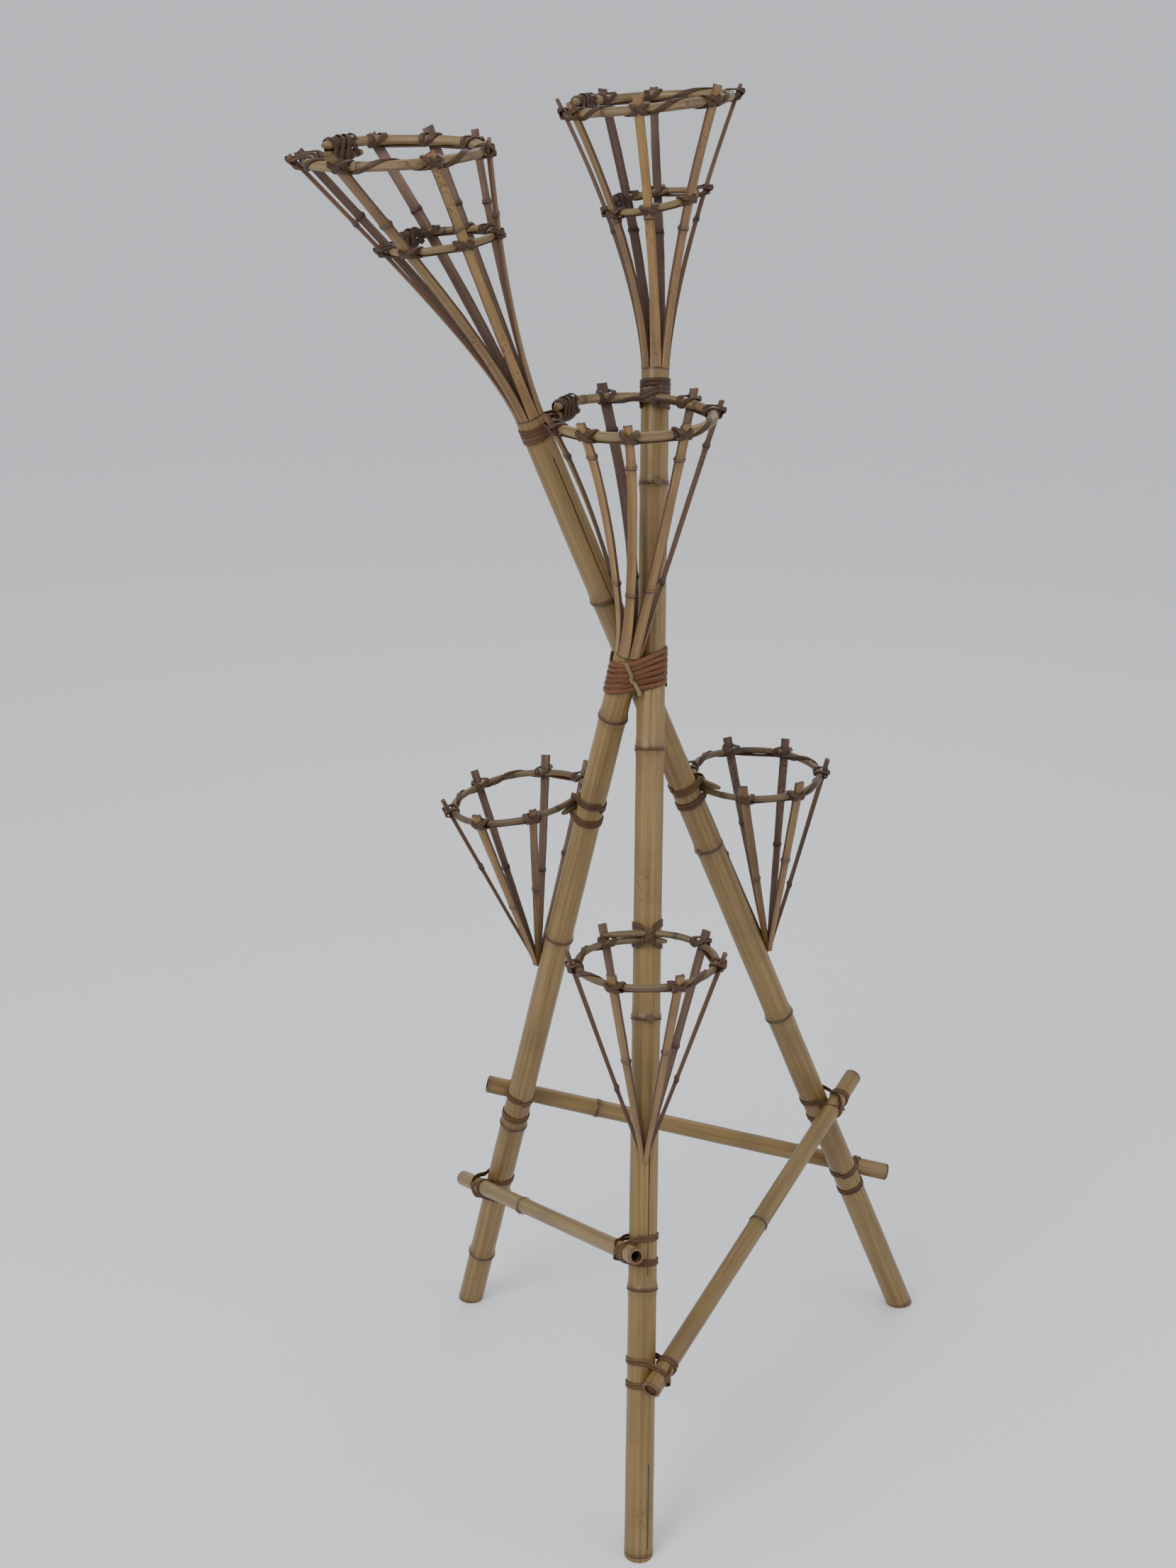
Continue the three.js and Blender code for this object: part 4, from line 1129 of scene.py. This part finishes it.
@dataclass(frozen=True)
class CaneFinish:
    """The surface of bamboo or cane, whose fibres run along the grain map."""

    name: str
    light: str
    middle: str
    dark: str
    stain: str
    joint: str
    roughness: float
    fibre: float = 0.9 * MM
    streak: float = 5.0 * MM
    fibre_length: float = 60 * MM
    stain_size: float = 70 * MM
    stain_amount: float = 0.45
    fibre_depth: float = 0.12 * MM
    fibre_contrast: float = 0.35
    joint_strength: float = 0.9
    speck_size: float = 3.5 * MM
    speck_amount: float = 0.5
    gloss: float = 0.5
    tone_range: float = 0.32
    cracked: bool = False

    def material(self) -> bpy.types.Material:
        """Builds the material's nodes."""
        material = bpy.data.materials.new(self.name)
        material.use_nodes = True
        tree = material.node_tree
        shader = tree.nodes["Principled BSDF"]
        grain = add(tree, "ShaderNodeUVMap", uv_map=GRAIN_MAP).outputs["UV"]
        tone = add(tree, "ShaderNodeAttribute", attribute_name=TONE_MARK).outputs["Fac"]
        joint = add(tree, "ShaderNodeAttribute", attribute_name=JOINT_MARK).outputs["Fac"]
        place = add(tree, "ShaderNodeTexCoord").outputs["Object"]
        shift = add(tree, "ShaderNodeCombineXYZ", {"Z": tone}).outputs[0]
        fibres = self._stretched(tree, grain, shift, self.fibre, self.fibre_length, 3.0)
        streaks = self._stretched(tree, grain, shift, self.streak, self.fibre_length * 4, 2.0)
        stains = {"Vector": place, "Scale": 1 / self.stain_size, "Detail": 4.0}
        blotch = add(tree, "ShaderNodeTexNoise", stains).outputs[0]
        wide = self._ranged(tree, streaks, 0.36, 0.64)
        body = self._tinted(tree, linear(self.middle), wide, self.light)
        thin = self._ranged(tree, fibres, 0.42, 0.7, high=self.fibre_contrast)
        body = self._tinted(tree, body, thin, self.dark)
        cloudy = self._ranged(tree, blotch, 0.5, 0.72, high=self.stain_amount)
        body = self._tinted(tree, body, cloudy, self.stain)
        body = self._specks(tree, body, place)
        body = self._joints(tree, body, joint, fibres)
        if self.cracked:
            body = self._cracks(tree, body, fibres)
        value = self._ranged(tree, tone, 0.0, 1.0, 1 - self.tone_range, 1 + self.tone_range)
        body = add(tree, "ShaderNodeHueSaturation", {"Value": value, "Color": body}).outputs[0]
        tree.links.new(body, shader.inputs["Base Color"])
        sheen = self._ranged(tree, fibres, 0.0, 1.0, self.roughness - 0.08, self.roughness + 0.14)
        tree.links.new(sheen, shader.inputs["Roughness"])
        bump = add(
            tree, "ShaderNodeBump", {"Height": fibres, "Strength": 0.55, "Distance": self.fibre_depth},
        ).outputs[0]
        tree.links.new(bump, shader.inputs["Normal"])
        shader.inputs["Specular IOR Level"].default_value = self.gloss
        return material

    def _ranged(
        self, tree: bpy.types.NodeTree, value: bpy.types.NodeSocket, start: float, end: float,
        low: float = 0.0, high: float = 1.0,
    ) -> bpy.types.NodeSocket:
        """Maps a value between start and end to one between low and high."""
        limits = {"Value": value, "From Min": start, "From Max": end, "To Min": low, "To Max": high}
        return add(tree, "ShaderNodeMapRange", limits).outputs[0]

    def _tinted(
        self, tree: bpy.types.NodeTree, body: bpy.types.NodeSocket | tuple, amount: bpy.types.NodeSocket,
        colour: str,
    ) -> bpy.types.NodeSocket:
        """Lays a colour over the body by an amount from 0 to 1."""
        layers = {"Factor": amount, 6: body, 7: linear(colour)}
        return add(tree, "ShaderNodeMix", layers, data_type="RGBA").outputs[2]

    def _stretched(
        self, tree: bpy.types.NodeTree, grain: bpy.types.NodeSocket, shift: bpy.types.NodeSocket,
        width: float, length: float, detail: float,
    ) -> bpy.types.NodeSocket:
        """Adds noise drawn out along the grain: one streak's width and length in metres."""
        scaled = add(
            tree, "ShaderNodeVectorMath", {0: grain, 1: (1 / width, 1 / length, 0.0)}, operation="MULTIPLY",
        ).outputs[0]
        apart = {0: shift, 1: (0.0, 0.0, 37.0)}
        spread = add(tree, "ShaderNodeVectorMath", apart, operation="MULTIPLY").outputs[0]
        moved = add(tree, "ShaderNodeVectorMath", {0: scaled, 1: spread}, operation="ADD").outputs[0]
        return add(tree, "ShaderNodeTexNoise", {"Vector": moved, "Scale": 1.0, "Detail": detail}).outputs[0]

    def _specks(
        self, tree: bpy.types.NodeTree, body: bpy.types.NodeSocket, place: bpy.types.NodeSocket,
    ) -> bpy.types.NodeSocket:
        """Adds small dark specks of mould and scuffs, in patches."""
        fine = {"Vector": place, "Scale": 1 / self.speck_size, "Detail": 3.0}
        specks = add(tree, "ShaderNodeTexNoise", fine).outputs[0]
        patch = add(tree, "ShaderNodeTexNoise", {"Vector": place, "Scale": 9.0, "Detail": 2.0}).outputs[0]
        both = add(tree, "ShaderNodeMath", {0: specks, 1: patch}, operation="MULTIPLY").outputs[0]
        mask = self._ranged(tree, both, 0.36, 0.42, high=self.speck_amount)
        return self._tinted(tree, body, mask, self.joint)

    def _joints(
        self, tree: bpy.types.NodeTree, body: bpy.types.NodeSocket, joint: bpy.types.NodeSocket,
        fibres: bpy.types.NodeSocket,
    ) -> bpy.types.NodeSocket:
        """Adds the two dark lines of each joint and the browned skin beside them."""
        uneven = add(
            tree, "ShaderNodeMath", {0: fibres, 1: 1.2 * MM, 2: -0.6 * MM}, operation="MULTIPLY_ADD",
        ).outputs[0]
        moved = add(tree, "ShaderNodeMath", {0: joint, 1: uneven}, operation="ADD").outputs[0]
        spot = {0: moved, 1: 1 / JOINT_SPAN, 2: 0.5}
        where = add(tree, "ShaderNodeMath", spot, operation="MULTIPLY_ADD").outputs[0]
        ramp = add(tree, "ShaderNodeValToRGB", {0: where})
        elements = ramp.color_ramp.elements
        while len(elements) < len(JOINT_STOPS):
            elements.new(0.5)
        for element, (offset, amount) in zip(elements, JOINT_STOPS):
            element.position = 0.5 + offset * MM / JOINT_SPAN
            element.color = (amount, amount, amount, 1.0)
        near = add(tree, "ShaderNodeAttribute", attribute_name=NEAR_MARK).outputs["Fac"]
        nearby = add(tree, "ShaderNodeMath", {0: ramp.outputs[0], 1: near}, operation="MULTIPLY").outputs[0]
        strength = add(
            tree, "ShaderNodeMath", {0: nearby, 1: self.joint_strength}, operation="MULTIPLY",
        ).outputs[0]
        return self._tinted(tree, body, strength, self.joint)

    def _cracks(
        self, tree: bpy.types.NodeTree, body: bpy.types.NodeSocket, fibres: bpy.types.NodeSocket,
    ) -> bpy.types.NodeSocket:
        """Adds the drying cracks that run along the grain."""
        away = add(tree, "ShaderNodeAttribute", attribute_name=CRACK_MARK).outputs["Fac"]
        width = add(
            tree, "ShaderNodeMath", {0: fibres, 1: 1.6 * MM, 2: 0.1 * MM}, operation="MULTIPLY_ADD",
        ).outputs[0]
        share = add(tree, "ShaderNodeMath", {0: away, 1: width}, operation="DIVIDE").outputs[0]
        mask = self._ranged(tree, share, 0.7, 1.1, 0.92, 0.0)
        return self._tinted(tree, body, mask, CRACK_COLOUR)


# Whole culm: dried bamboo, its waxy skin left on. Golden tan, fine long fibres, brown blotches, satin.
CULM_SKIN = CaneFinish(
    "dried_bamboo_skin", light="#81683b", middle="#6b542c", dark="#46321a", stain="#574124", joint="#371d0b",
    roughness=0.4, cracked=True, fibre_contrast=0.22, speck_amount=0.35,
)
# Sawn bamboo end: a pale ring of open fibre ends, darkened with age.
CUT_END = CaneFinish(
    "sawn_bamboo_end", light="#8f6c43", middle="#6f4e2c", dark="#3c2715", stain="#4a301a", joint="#2e1b10",
    roughness=0.8, fibre=0.5 * MM, fibre_length=1.5 * MM, streak=2 * MM, fibre_depth=0.3 * MM,
)
# Inside of a culm: dull papery pith, painted dark brown as painted shade of the hollow, so it reads nearly
# black there.
HOLLOW = CaneFinish(
    "bamboo_hollow_wall", light="#6d5233", middle="#4f3922", dark="#2c1e12", stain="#33241a", joint="#20140c",
    roughness=0.9,
)
# Outer face of split bamboo: the same skin, browner where it was bent over heat.
SLAT_SKIN = CaneFinish(
    "split_bamboo_skin", light="#81643a", middle="#6a4e2a", dark="#432b17", stain="#573b20", joint="#31190d",
    roughness=0.45, stain_size=45 * MM,
)
# Split edge: reddish brown, sanded and handled.
SLAT_EDGE = CaneFinish(
    "split_bamboo_edge", light="#5c3f2a", middle="#48301f", dark="#2c1b12", stain="#39271a", joint="#22140d",
    roughness=0.6, fibre=0.5 * MM, streak=2 * MM,
)
# Inner face of split bamboo: grey-brown pith with coarse fibres and no gloss, painted darker than the outer
# skin as painted shade, since the inner faces lie in shadow.
SLAT_PITH = CaneFinish(
    "split_bamboo_pith", light="#6e594c", middle="#57453a", dark="#352822", stain="#48352a", joint="#2b1a12",
    roughness=0.8, fibre=0.7 * MM, gloss=0.3, fibre_depth=0.2 * MM,
)
# Round hoop cane: unpeeled, tan with brown streaks, slightly glossy.
HOOP_SKIN = CaneFinish(
    "round_hoop_cane", light="#7d6843", middle="#624d31", dark="#382919", stain="#463724", joint="#2b1b0f",
    roughness=0.5, streak=3.5 * MM, stain_size=40 * MM, stain_amount=0.6,
)
# Flat binding cane: dark brown rattan peel with greyed patches.
BINDING_SKIN = CaneFinish(
    "dark_rattan_peel", light="#4e3521", middle="#392414", dark="#20140c", stain="#2f1f13", joint="#180f0a",
    roughness=0.5, fibre=0.6 * MM, streak=2 * MM, stain_size=30 * MM, gloss=0.35,
)
# Tie cane: brown rattan peel, worn to a dull gloss.
TIE_SKIN = CaneFinish(
    "brown_rattan_peel", light="#5c3f20", middle="#442b13", dark="#26160a", stain="#362110", joint="#1b1009",
    roughness=0.5, fibre=0.6 * MM, streak=2 * MM, stain_size=35 * MM, gloss=0.35,
)
# Lashing cane: red-brown rattan peel, glossy on its rounded outside.
LASHING_SKIN = CaneFinish(
    "red_brown_rattan_peel", light="#683c19", middle="#502c10", dark="#2a1608", stain="#3e220f",
    joint="#201009", roughness=0.46, fibre=0.6 * MM, streak=2 * MM, stain_size=35 * MM, gloss=0.4,
)
FLOOR_COLOUR = "#e3e4e6"
WALL_COLOUR = (0.86, 0.89, 0.93, 1.0)


# The stand

@dataclass
class LegSizes:
    """One leg: its culm, the crown at its top and the cone basket on it."""

    joints: list[float]
    measured_at: float
    split: float
    turn: float
    azimuths: list[float]
    crown_joints: list[float]
    stands: list[float]
    rim_tilt: tuple[float, float]
    rim_lap: float
    waist_tilt: float | None
    waist_lap: float
    basket_tilt: tuple[float, float]
    basket_azimuth: float
    basket_joints: list[float]
    basket_tail: float
    flutes: list[float]
    cracks: list[tuple[float, float, float]]
    buds: list[tuple[float, float]]
    taper: float


LEGS = {
    "front": LegSizes(
        [287, 576, 862, 1143], 287, 1264, 12, [5, 86, 121, 172, 208, 261, 314], [1415],
        [11, 12.5, 16, 11, 10, 12.5, 17], (4.5, 3), 146, 10, 146,
        (0, 4), -92, [0.42, 0.35, 0.55, 0.6, 0.4, 0.5], 22, [5, 5, 5, 15],
        [(20, 300, 442), (35, 2, 110)], [(576, 15), (1143, 14)], 0.03,
    ),
    "left": LegSizes(
        [82, 300, 587, 890], 300, 972, -15, [12, 46, 109, 203, 236, 266, 304], [1055, 1205],
        [14, 16, 17, 12, 12, 13, 10], (0, 0), 150, None, 0,
        (10, 0), 146.2, [0.55, 0.45, 0.5, 0.6, 0.4, 0.5], 3, [30, -30, 20, 0],
        [], [], 0.01,
    ),
    "right": LegSizes(
        [464, 705, 1027], 464, 1240, 24, [34, 70, 106, 163, 190, 240, 297, 352], [1455],
        [17, 17, 11, 3, 4, 9, 11, 14], (2, 0), 134, 7, 134,
        (0, 0), 27.8, [0.45, 0.55, 0.35, 0.5, 0.6, 0.5], 8, [-30, 30, -20],
        [(30, 1010, 1215)], [(705, -50)], 0.01,
    ),
}


@dataclass
class BraceSizes:
    """One brace: the legs it ties, its joints as shares of its length, and how deep its ends are hollow."""

    legs: tuple[str, str]
    radius: float
    joints: list[float]
    hollows: tuple[float, float]
    buds: list[tuple[float, float]]


BRACES = {
    "back": BraceSizes(("left", "right"), 10.9, [0.27, 0.78], (9, 60), [(0.775, 0)]),
    "left": BraceSizes(("left", "front"), 9.6, [0.39], (4, 70), [(0.385, 0)]),
    "right": BraceSizes(("front", "right"), 11, [0.5], (3, 6), []),
}
CULM_RADIUS = 16 * MM
CULM_WALL = 4 * MM
BRACE_WALL = 3.2 * MM
RIM_TUBE = 5.5 * MM
WAIST_TUBE = 3.8 * MM
BASKET_TUBE = 4 * MM
HOOP_GAP = 0.3 * MM
LAP_HALF = 17.0
FOOT_EXTRA = 9 * MM
CULM_HOLLOWS = (60 * MM, 40 * MM)
BRACE_FLUTES = [20, -25]
BRACE_CANE = {"width": 3.6 * MM, "pitch": 3.8 * MM}
MAIN_LASHING_TILT = 8
STRAP_HALF = 21


@dataclass
class PlantStand:
    """The whole stand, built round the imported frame."""

    nodes: dict[str, bpy.types.Object]

    def __post_init__(self) -> None:
        """Finds the poles and makes the materials."""
        self.poles = {}
        for name, leg in LEGS.items():
            points = node_points(f"culm_{name}", self.nodes)
            self.poles[name] = Pole.measured(points, leg.measured_at * MM, CULM_RADIUS)
            self.poles[name].taper = leg.taper
        self.skin, self.cut, self.hollow = (f.material() for f in (CULM_SKIN, CUT_END, HOLLOW))
        self.slat = [f.material() for f in (SLAT_SKIN, SLAT_EDGE, SLAT_PITH)]
        self.hoop, self.binding = (f.material() for f in (HOOP_SKIN, BINDING_SKIN))
        self.tie, self.lashing = (f.material() for f in (TIE_SKIN, LASHING_SKIN))

    def place(self, piece: bpy.types.Object, node: str, slot: str) -> None:
        """Hangs a piece on the root body, hides the node it replaces and logs its face count."""
        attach(piece, "root")
        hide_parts(node)
        LOG.info("%s: %d faces", piece.name, len(piece.data.polygons))

    def hoop_line(self, node: str, normal: Array, tube: float, lap: float) -> HoopLine:
        """Measures a hoop of the frame."""
        return HoopLine.measured(node_points(node, self.nodes), normal, tube, lap, HOOP_GAP)

    def build_leg(self, name: str) -> None:
        """Builds a culm with its crown and the crown's hoops."""
        leg, pole = LEGS[name], self.poles[name]
        joints = [pole.length_to(height * MM) for height in leg.joints]
        cracks = [(at, pole.length_to(low * MM), pole.length_to(high * MM)) for at, low, high in leg.cracks]
        buds = [(pole.length_to(height * MM), at) for height, at in leg.buds]
        cane = Cane(
            f"{name}_culm", CULM_RADIUS, CULM_WALL, -FOOT_EXTRA, pole.length_to(leg.split * MM), joints,
            CULM_HOLLOWS, leg.flutes, cracks, buds, leg.taper,
        )
        culm = cane.build(pole, [self.skin, self.cut, self.hollow], ground=True)
        rim = self.hoop_line(f"crown_{name}_rim_hoop", tilted_up(*leg.rim_tilt), RIM_TUBE, leg.rim_lap)
        crown = Crown(
            pole, rim, leg.split * MM, leg.turn, leg.azimuths, [height * MM for height in leg.crown_joints],
            leg.stands,
        )
        slats = crown.build(f"{name}_crown", self.slat)
        self.place(merge_pieces([culm, slats]), f"culm_{name}", "bamboo")
        bare = []
        if name == "left":
            bare = [self.bearing(rim, self.poles[other]) for other in ("front", "right")]
        count = range(len(leg.azimuths))
        self.build_hoop(f"crown_{name}_rim", rim, [crown.crossing(i, rim) for i in count], bare=bare)
        if leg.waist_tilt is not None:
            normal = tilted_up(leg.waist_tilt)
            waist = self.hoop_line(f"crown_{name}_waist_hoop", normal, WAIST_TUBE, leg.waist_lap)
            crossings = [crown.crossing(i, waist) for i in count]
            self.build_hoop(f"crown_{name}_waist", waist, crossings, wrap_turns=3)

    def build_hoop(
        self, name: str, line: HoopLine, crossings: list[SlatCrossing], **look: float | list[float],
    ) -> None:
        """Builds a hoop and its binding."""
        hoop = Hoop(f"{name}_hoop_cane", line, crossings, LAP_HALF, **look)
        self.place(hoop.build(self.hoop, self.cut), f"{name}_hoop", "hoop_cane")
        self.place(hoop.bind(f"{name}_binding_cane", self.binding), f"{name}_binding", "binding_cane")

    def bearing(self, line: HoopLine, pole: Pole) -> float:
        """Returns the azimuth, from a hoop's centre, at which a pole touches it."""
        offset = pole.at(line.centre[2]) - line.centre
        return math.degrees(math.atan2(offset[1], offset[0])) % 360

    def build_basket(self, name: str) -> None:
        """Builds a cone basket and its tie."""
        leg, pole = LEGS[name], self.poles[name]
        lap = leg.basket_azimuth + 180
        line = self.hoop_line(f"basket_{name}_hoop", tilted_up(*leg.basket_tilt), BASKET_TUBE, lap)
        count = range(len(leg.basket_joints))
        points = [node_points(f"basket_{name}_slat_{i + 1}", self.nodes) for i in count]
        basket = Basket(f"{name}_basket", line, points, leg.basket_joints, CULM_RADIUS, pole)
        for i in count:
            self.place(basket.build_slat(i, self.slat), f"basket_{name}_slat_{i + 1}", "split_bamboo")
        self.build_hoop(
            f"basket_{name}", line, [basket.crossing(i) for i in count], wrap_turns=0, tone=0.05,
            tail_degrees=leg.basket_tail,
        )
        tie = self.hoop_tie(f"{name}_basket_tie_cane", line, pole, lap, 2, 11 * MM)
        finish = self.binding if name == "front" else self.tie
        self.place(tie.build(finish), f"basket_{name}_tie", "lashing_cane")

    def hoop_tie(
        self, name: str, line: HoopLine, pole: Pole, azimuth: float, turns: int, spread: float,
    ) -> Lashing:
        """Returns the cane that crosses over a hoop and lies in two bands behind the pole."""
        rods = line.rods(azimuth, LAP_HALF)
        middle = (rods[0].point + rods[-1].point) / 2
        touch = middle + line.plane.radial(azimuth) * line.tube
        side = line.plane.radial(azimuth + 90) * 5 * MM
        held = [Rod(middle + side * k, pole.direction, line.tube + 1.2 * MM) for k in (-1, 1)]
        saddle = Saddle(pole.direction, turns, held=held, spread=spread)
        return Lashing(name, [pole.local(touch[2])], touch, [(saddle, [])])

    def build_rim_ties(self) -> None:
        """Builds the ties of the left crown's rim to the other two culms, with their collars."""
        leg = LEGS["left"]
        line = self.hoop_line("crown_left_rim_hoop", tilted_up(*leg.rim_tilt), RIM_TUBE, leg.rim_lap)
        for name, offset, turns, spread in (("front", 13 * MM, 2, 7 * MM), ("right", -17 * MM, 2, 4 * MM)):
            pole = self.poles[name]
            tie = self.hoop_tie(f"{name}_crown_tie_cane", line, pole, self.bearing(line, pole), 2, spread)
            collar = pole.at(line.centre[2] + offset)
            along = (collar - tie.centre).dot(pole.direction)
            tie.windings.append((Winding(pole.direction, turns, along), []))
            finish = self.binding if name == "front" else self.tie
            self.place(tie.build(finish), f"crown_{name}_collar", "lashing_cane")

    def build_brace(self, name: str) -> None:
        """Builds a brace and the two lashings that hold it."""
        size = BRACES[name]
        points = node_points(f"brace_{name}", self.nodes)
        middle = points.mean(axis=0)
        axis = np.linalg.svd(points - middle, full_matrices=False)[2][0]
        if (self.poles[size.legs[1]].at(middle[2]) - middle).dot(axis) < 0:
            axis = -axis
        reach = (points - middle) @ axis
        line = Rod(middle + axis * reach.min(), axis, size.radius * MM)
        length = float(np.ptp(reach))
        cane = Cane(
            f"{name}_brace", line.radius, BRACE_WALL, 0.0, length, [share * length for share in size.joints],
            (size.hollows[0] * MM, size.hollows[1] * MM), BRACE_FLUTES,
            buds=[(share * length, at) for share, at in size.buds],
        )
        self.place(cane.build(line, [self.skin, self.cut, self.hollow]), f"brace_{name}", "bamboo")
        for leg_name in size.legs:
            pole = self.poles[leg_name]
            apart = np.cross(pole.direction, axis)
            gap = (line.point - pole.point).dot(apart) / apart.dot(apart)
            sides = np.column_stack([pole.direction, -axis])
            along = np.linalg.lstsq(sides, line.point - pole.point - apart * gap, rcond=None)[0]
            centre = (pole.point + pole.direction * along[0] + line.point + axis * along[1]) / 2
            on_brace = line.point + axis * along[1]
            held = [Rod(on_brace + axis * k * MM, pole.direction, line.radius) for k in (-5, 5)]
            spread = line.radius + 3.5 * MM
            tie = Saddle(pole.direction, 2, held=held, spread=spread, **BRACE_CANE)
            band = Winding(axis, 2, CULM_RADIUS - 2 * MM, **BRACE_CANE)
            windings = [(tie, [pole.local(centre[2])]), (band, [line])]
            lashing = Lashing(f"{name}_brace_{leg_name}_lashing_cane", [pole, line], centre, windings)
            self.place(lashing.build(self.tie), f"brace_{name}_lashing_{leg_name}", "lashing_cane")

    def build_main_lashing(self) -> None:
        """Builds the wide lashing where the three culms cross, and the strap over its front."""
        low, high = (np.array(corner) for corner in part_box("main_lashing"))
        centre = (low + high) / 2
        rods = list(self.poles.values())
        normal = tilted_up(MAIN_LASHING_TILT)
        turns = Winding(normal, 6, width=6.2 * MM, pitch=6.5 * MM, lift=1.0 * MM, thickness=2.6 * MM)
        lashing = Lashing("main_lashing_cane", rods, centre, [(turns, [])])
        self.place(lashing.build(self.lashing), "main_lashing", "lashing_cane")
        low, high = (np.array(corner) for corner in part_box("main_lashing_strap"))
        strap = (low + high) / 2
        plane = Plane(normal)
        rng = seeded("strap")
        rows, outwards = [], []
        for offset in np.linspace(-STRAP_HALF, STRAP_HALF, 15) * MM:
            level = centre + plane.normal * offset
            outline = boundary(rods, level, plane, 4.6 * MM)
            lean = np.array([offset * 0.35, 0, 0])
            spot = outline[np.linalg.norm((outline - strap + lean)[:, :2], axis=1).argmin()]
            rows.append(spot)
            outwards.append(spot - outline.mean(axis=0))
        weave = Weave()
        section = strip_section(4.4 * MM, 1.5 * MM)
        weave.sweep(np.array(rows), np.array(outwards), section, tone=rng.uniform(0.5, 0.6))
        piece = weave.to_object("main_lashing_strap_cane", [self.hoop])
        self.place(piece, "main_lashing_strap", "lashing_cane")

    def build(self) -> None:
        """Builds every piece."""
        for name in LEGS:
            self.build_leg(name)
            self.build_basket(name)
        for name in BRACES:
            self.build_brace(name)
        self.build_main_lashing()
        self.build_rim_ties()


FLOOR_SIZE = 90
FLOOR_ROUGHNESS = 0.9
WORLD_STRENGTH = 0.95
LIGHTS_LOOK_AT = (0, 0, 0.8)
# Each area light's name, place, width and power in watts
LIGHTS = (
    ("key", (-1.6, -1.8, 3.0), 1.6, 60),
    ("fill", (2.2, -1.2, 1.8), 2.2, 18),
    ("rim", (0.6, 2.4, 2.6), 1.8, 12),
)


@dataclass
class Studio:
    """The camera, a plain pale floor and soft light."""

    camera_place: tuple[float, float, float] = (-0.0579, -2.5102, 1.7964)
    camera_down: float = 21.4
    lens: float = 54.1

    def build(self) -> None:
        """Sets up the view, the floor and the lights."""
        scene = bpy.context.scene
        camera = bpy.data.cameras.new("view")
        camera.lens = self.lens
        camera.sensor_width = 36
        holder = bpy.data.objects.new("view", camera)
        holder.location = self.camera_place
        holder.rotation_euler = (math.radians(90 - self.camera_down), 0, 0)
        scene.collection.objects.link(holder)
        scene.camera = holder
        bpy.ops.object.select_all(action="DESELECT")
        bpy.ops.mesh.primitive_plane_add(size=FLOOR_SIZE, location=(0, 0, 0))
        floor = bpy.context.object
        floor.name = "floor"
        paint = bpy.data.materials.new("matt_painted_floor")
        paint.use_nodes = True
        shader = paint.node_tree.nodes["Principled BSDF"]
        shader.inputs["Base Color"].default_value = linear(FLOOR_COLOUR)
        shader.inputs["Roughness"].default_value = FLOOR_ROUGHNESS
        floor.data.materials.append(paint)
        world = bpy.data.worlds.new("room") if scene.world is None else scene.world
        scene.world = world
        world.use_nodes = True
        nodes = world.node_tree.nodes
        background = nodes.get("Background") or nodes.new("ShaderNodeBackground")
        background.inputs["Color"].default_value = WALL_COLOUR
        background.inputs["Strength"].default_value = WORLD_STRENGTH
        for name, place, size, power in LIGHTS:
            light = bpy.data.lights.new(name, "AREA")
            light.size = size
            light.energy = power
            lamp = bpy.data.objects.new(name, light)
            lamp.location = place
            aim = Vector(LIGHTS_LOOK_AT) - Vector(place)
            lamp.rotation_euler = aim.to_track_quat("-Z", "Y").to_euler()
            scene.collection.objects.link(lamp)


def main() -> None:
    """Builds the stand and its studio."""
    logging.basicConfig(level=logging.INFO, format="%(name)s: %(message)s")
    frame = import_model()
    PlantStand(frame["nodes"]).build()
    Studio().build()


if __name__ == "__main__":
    main()
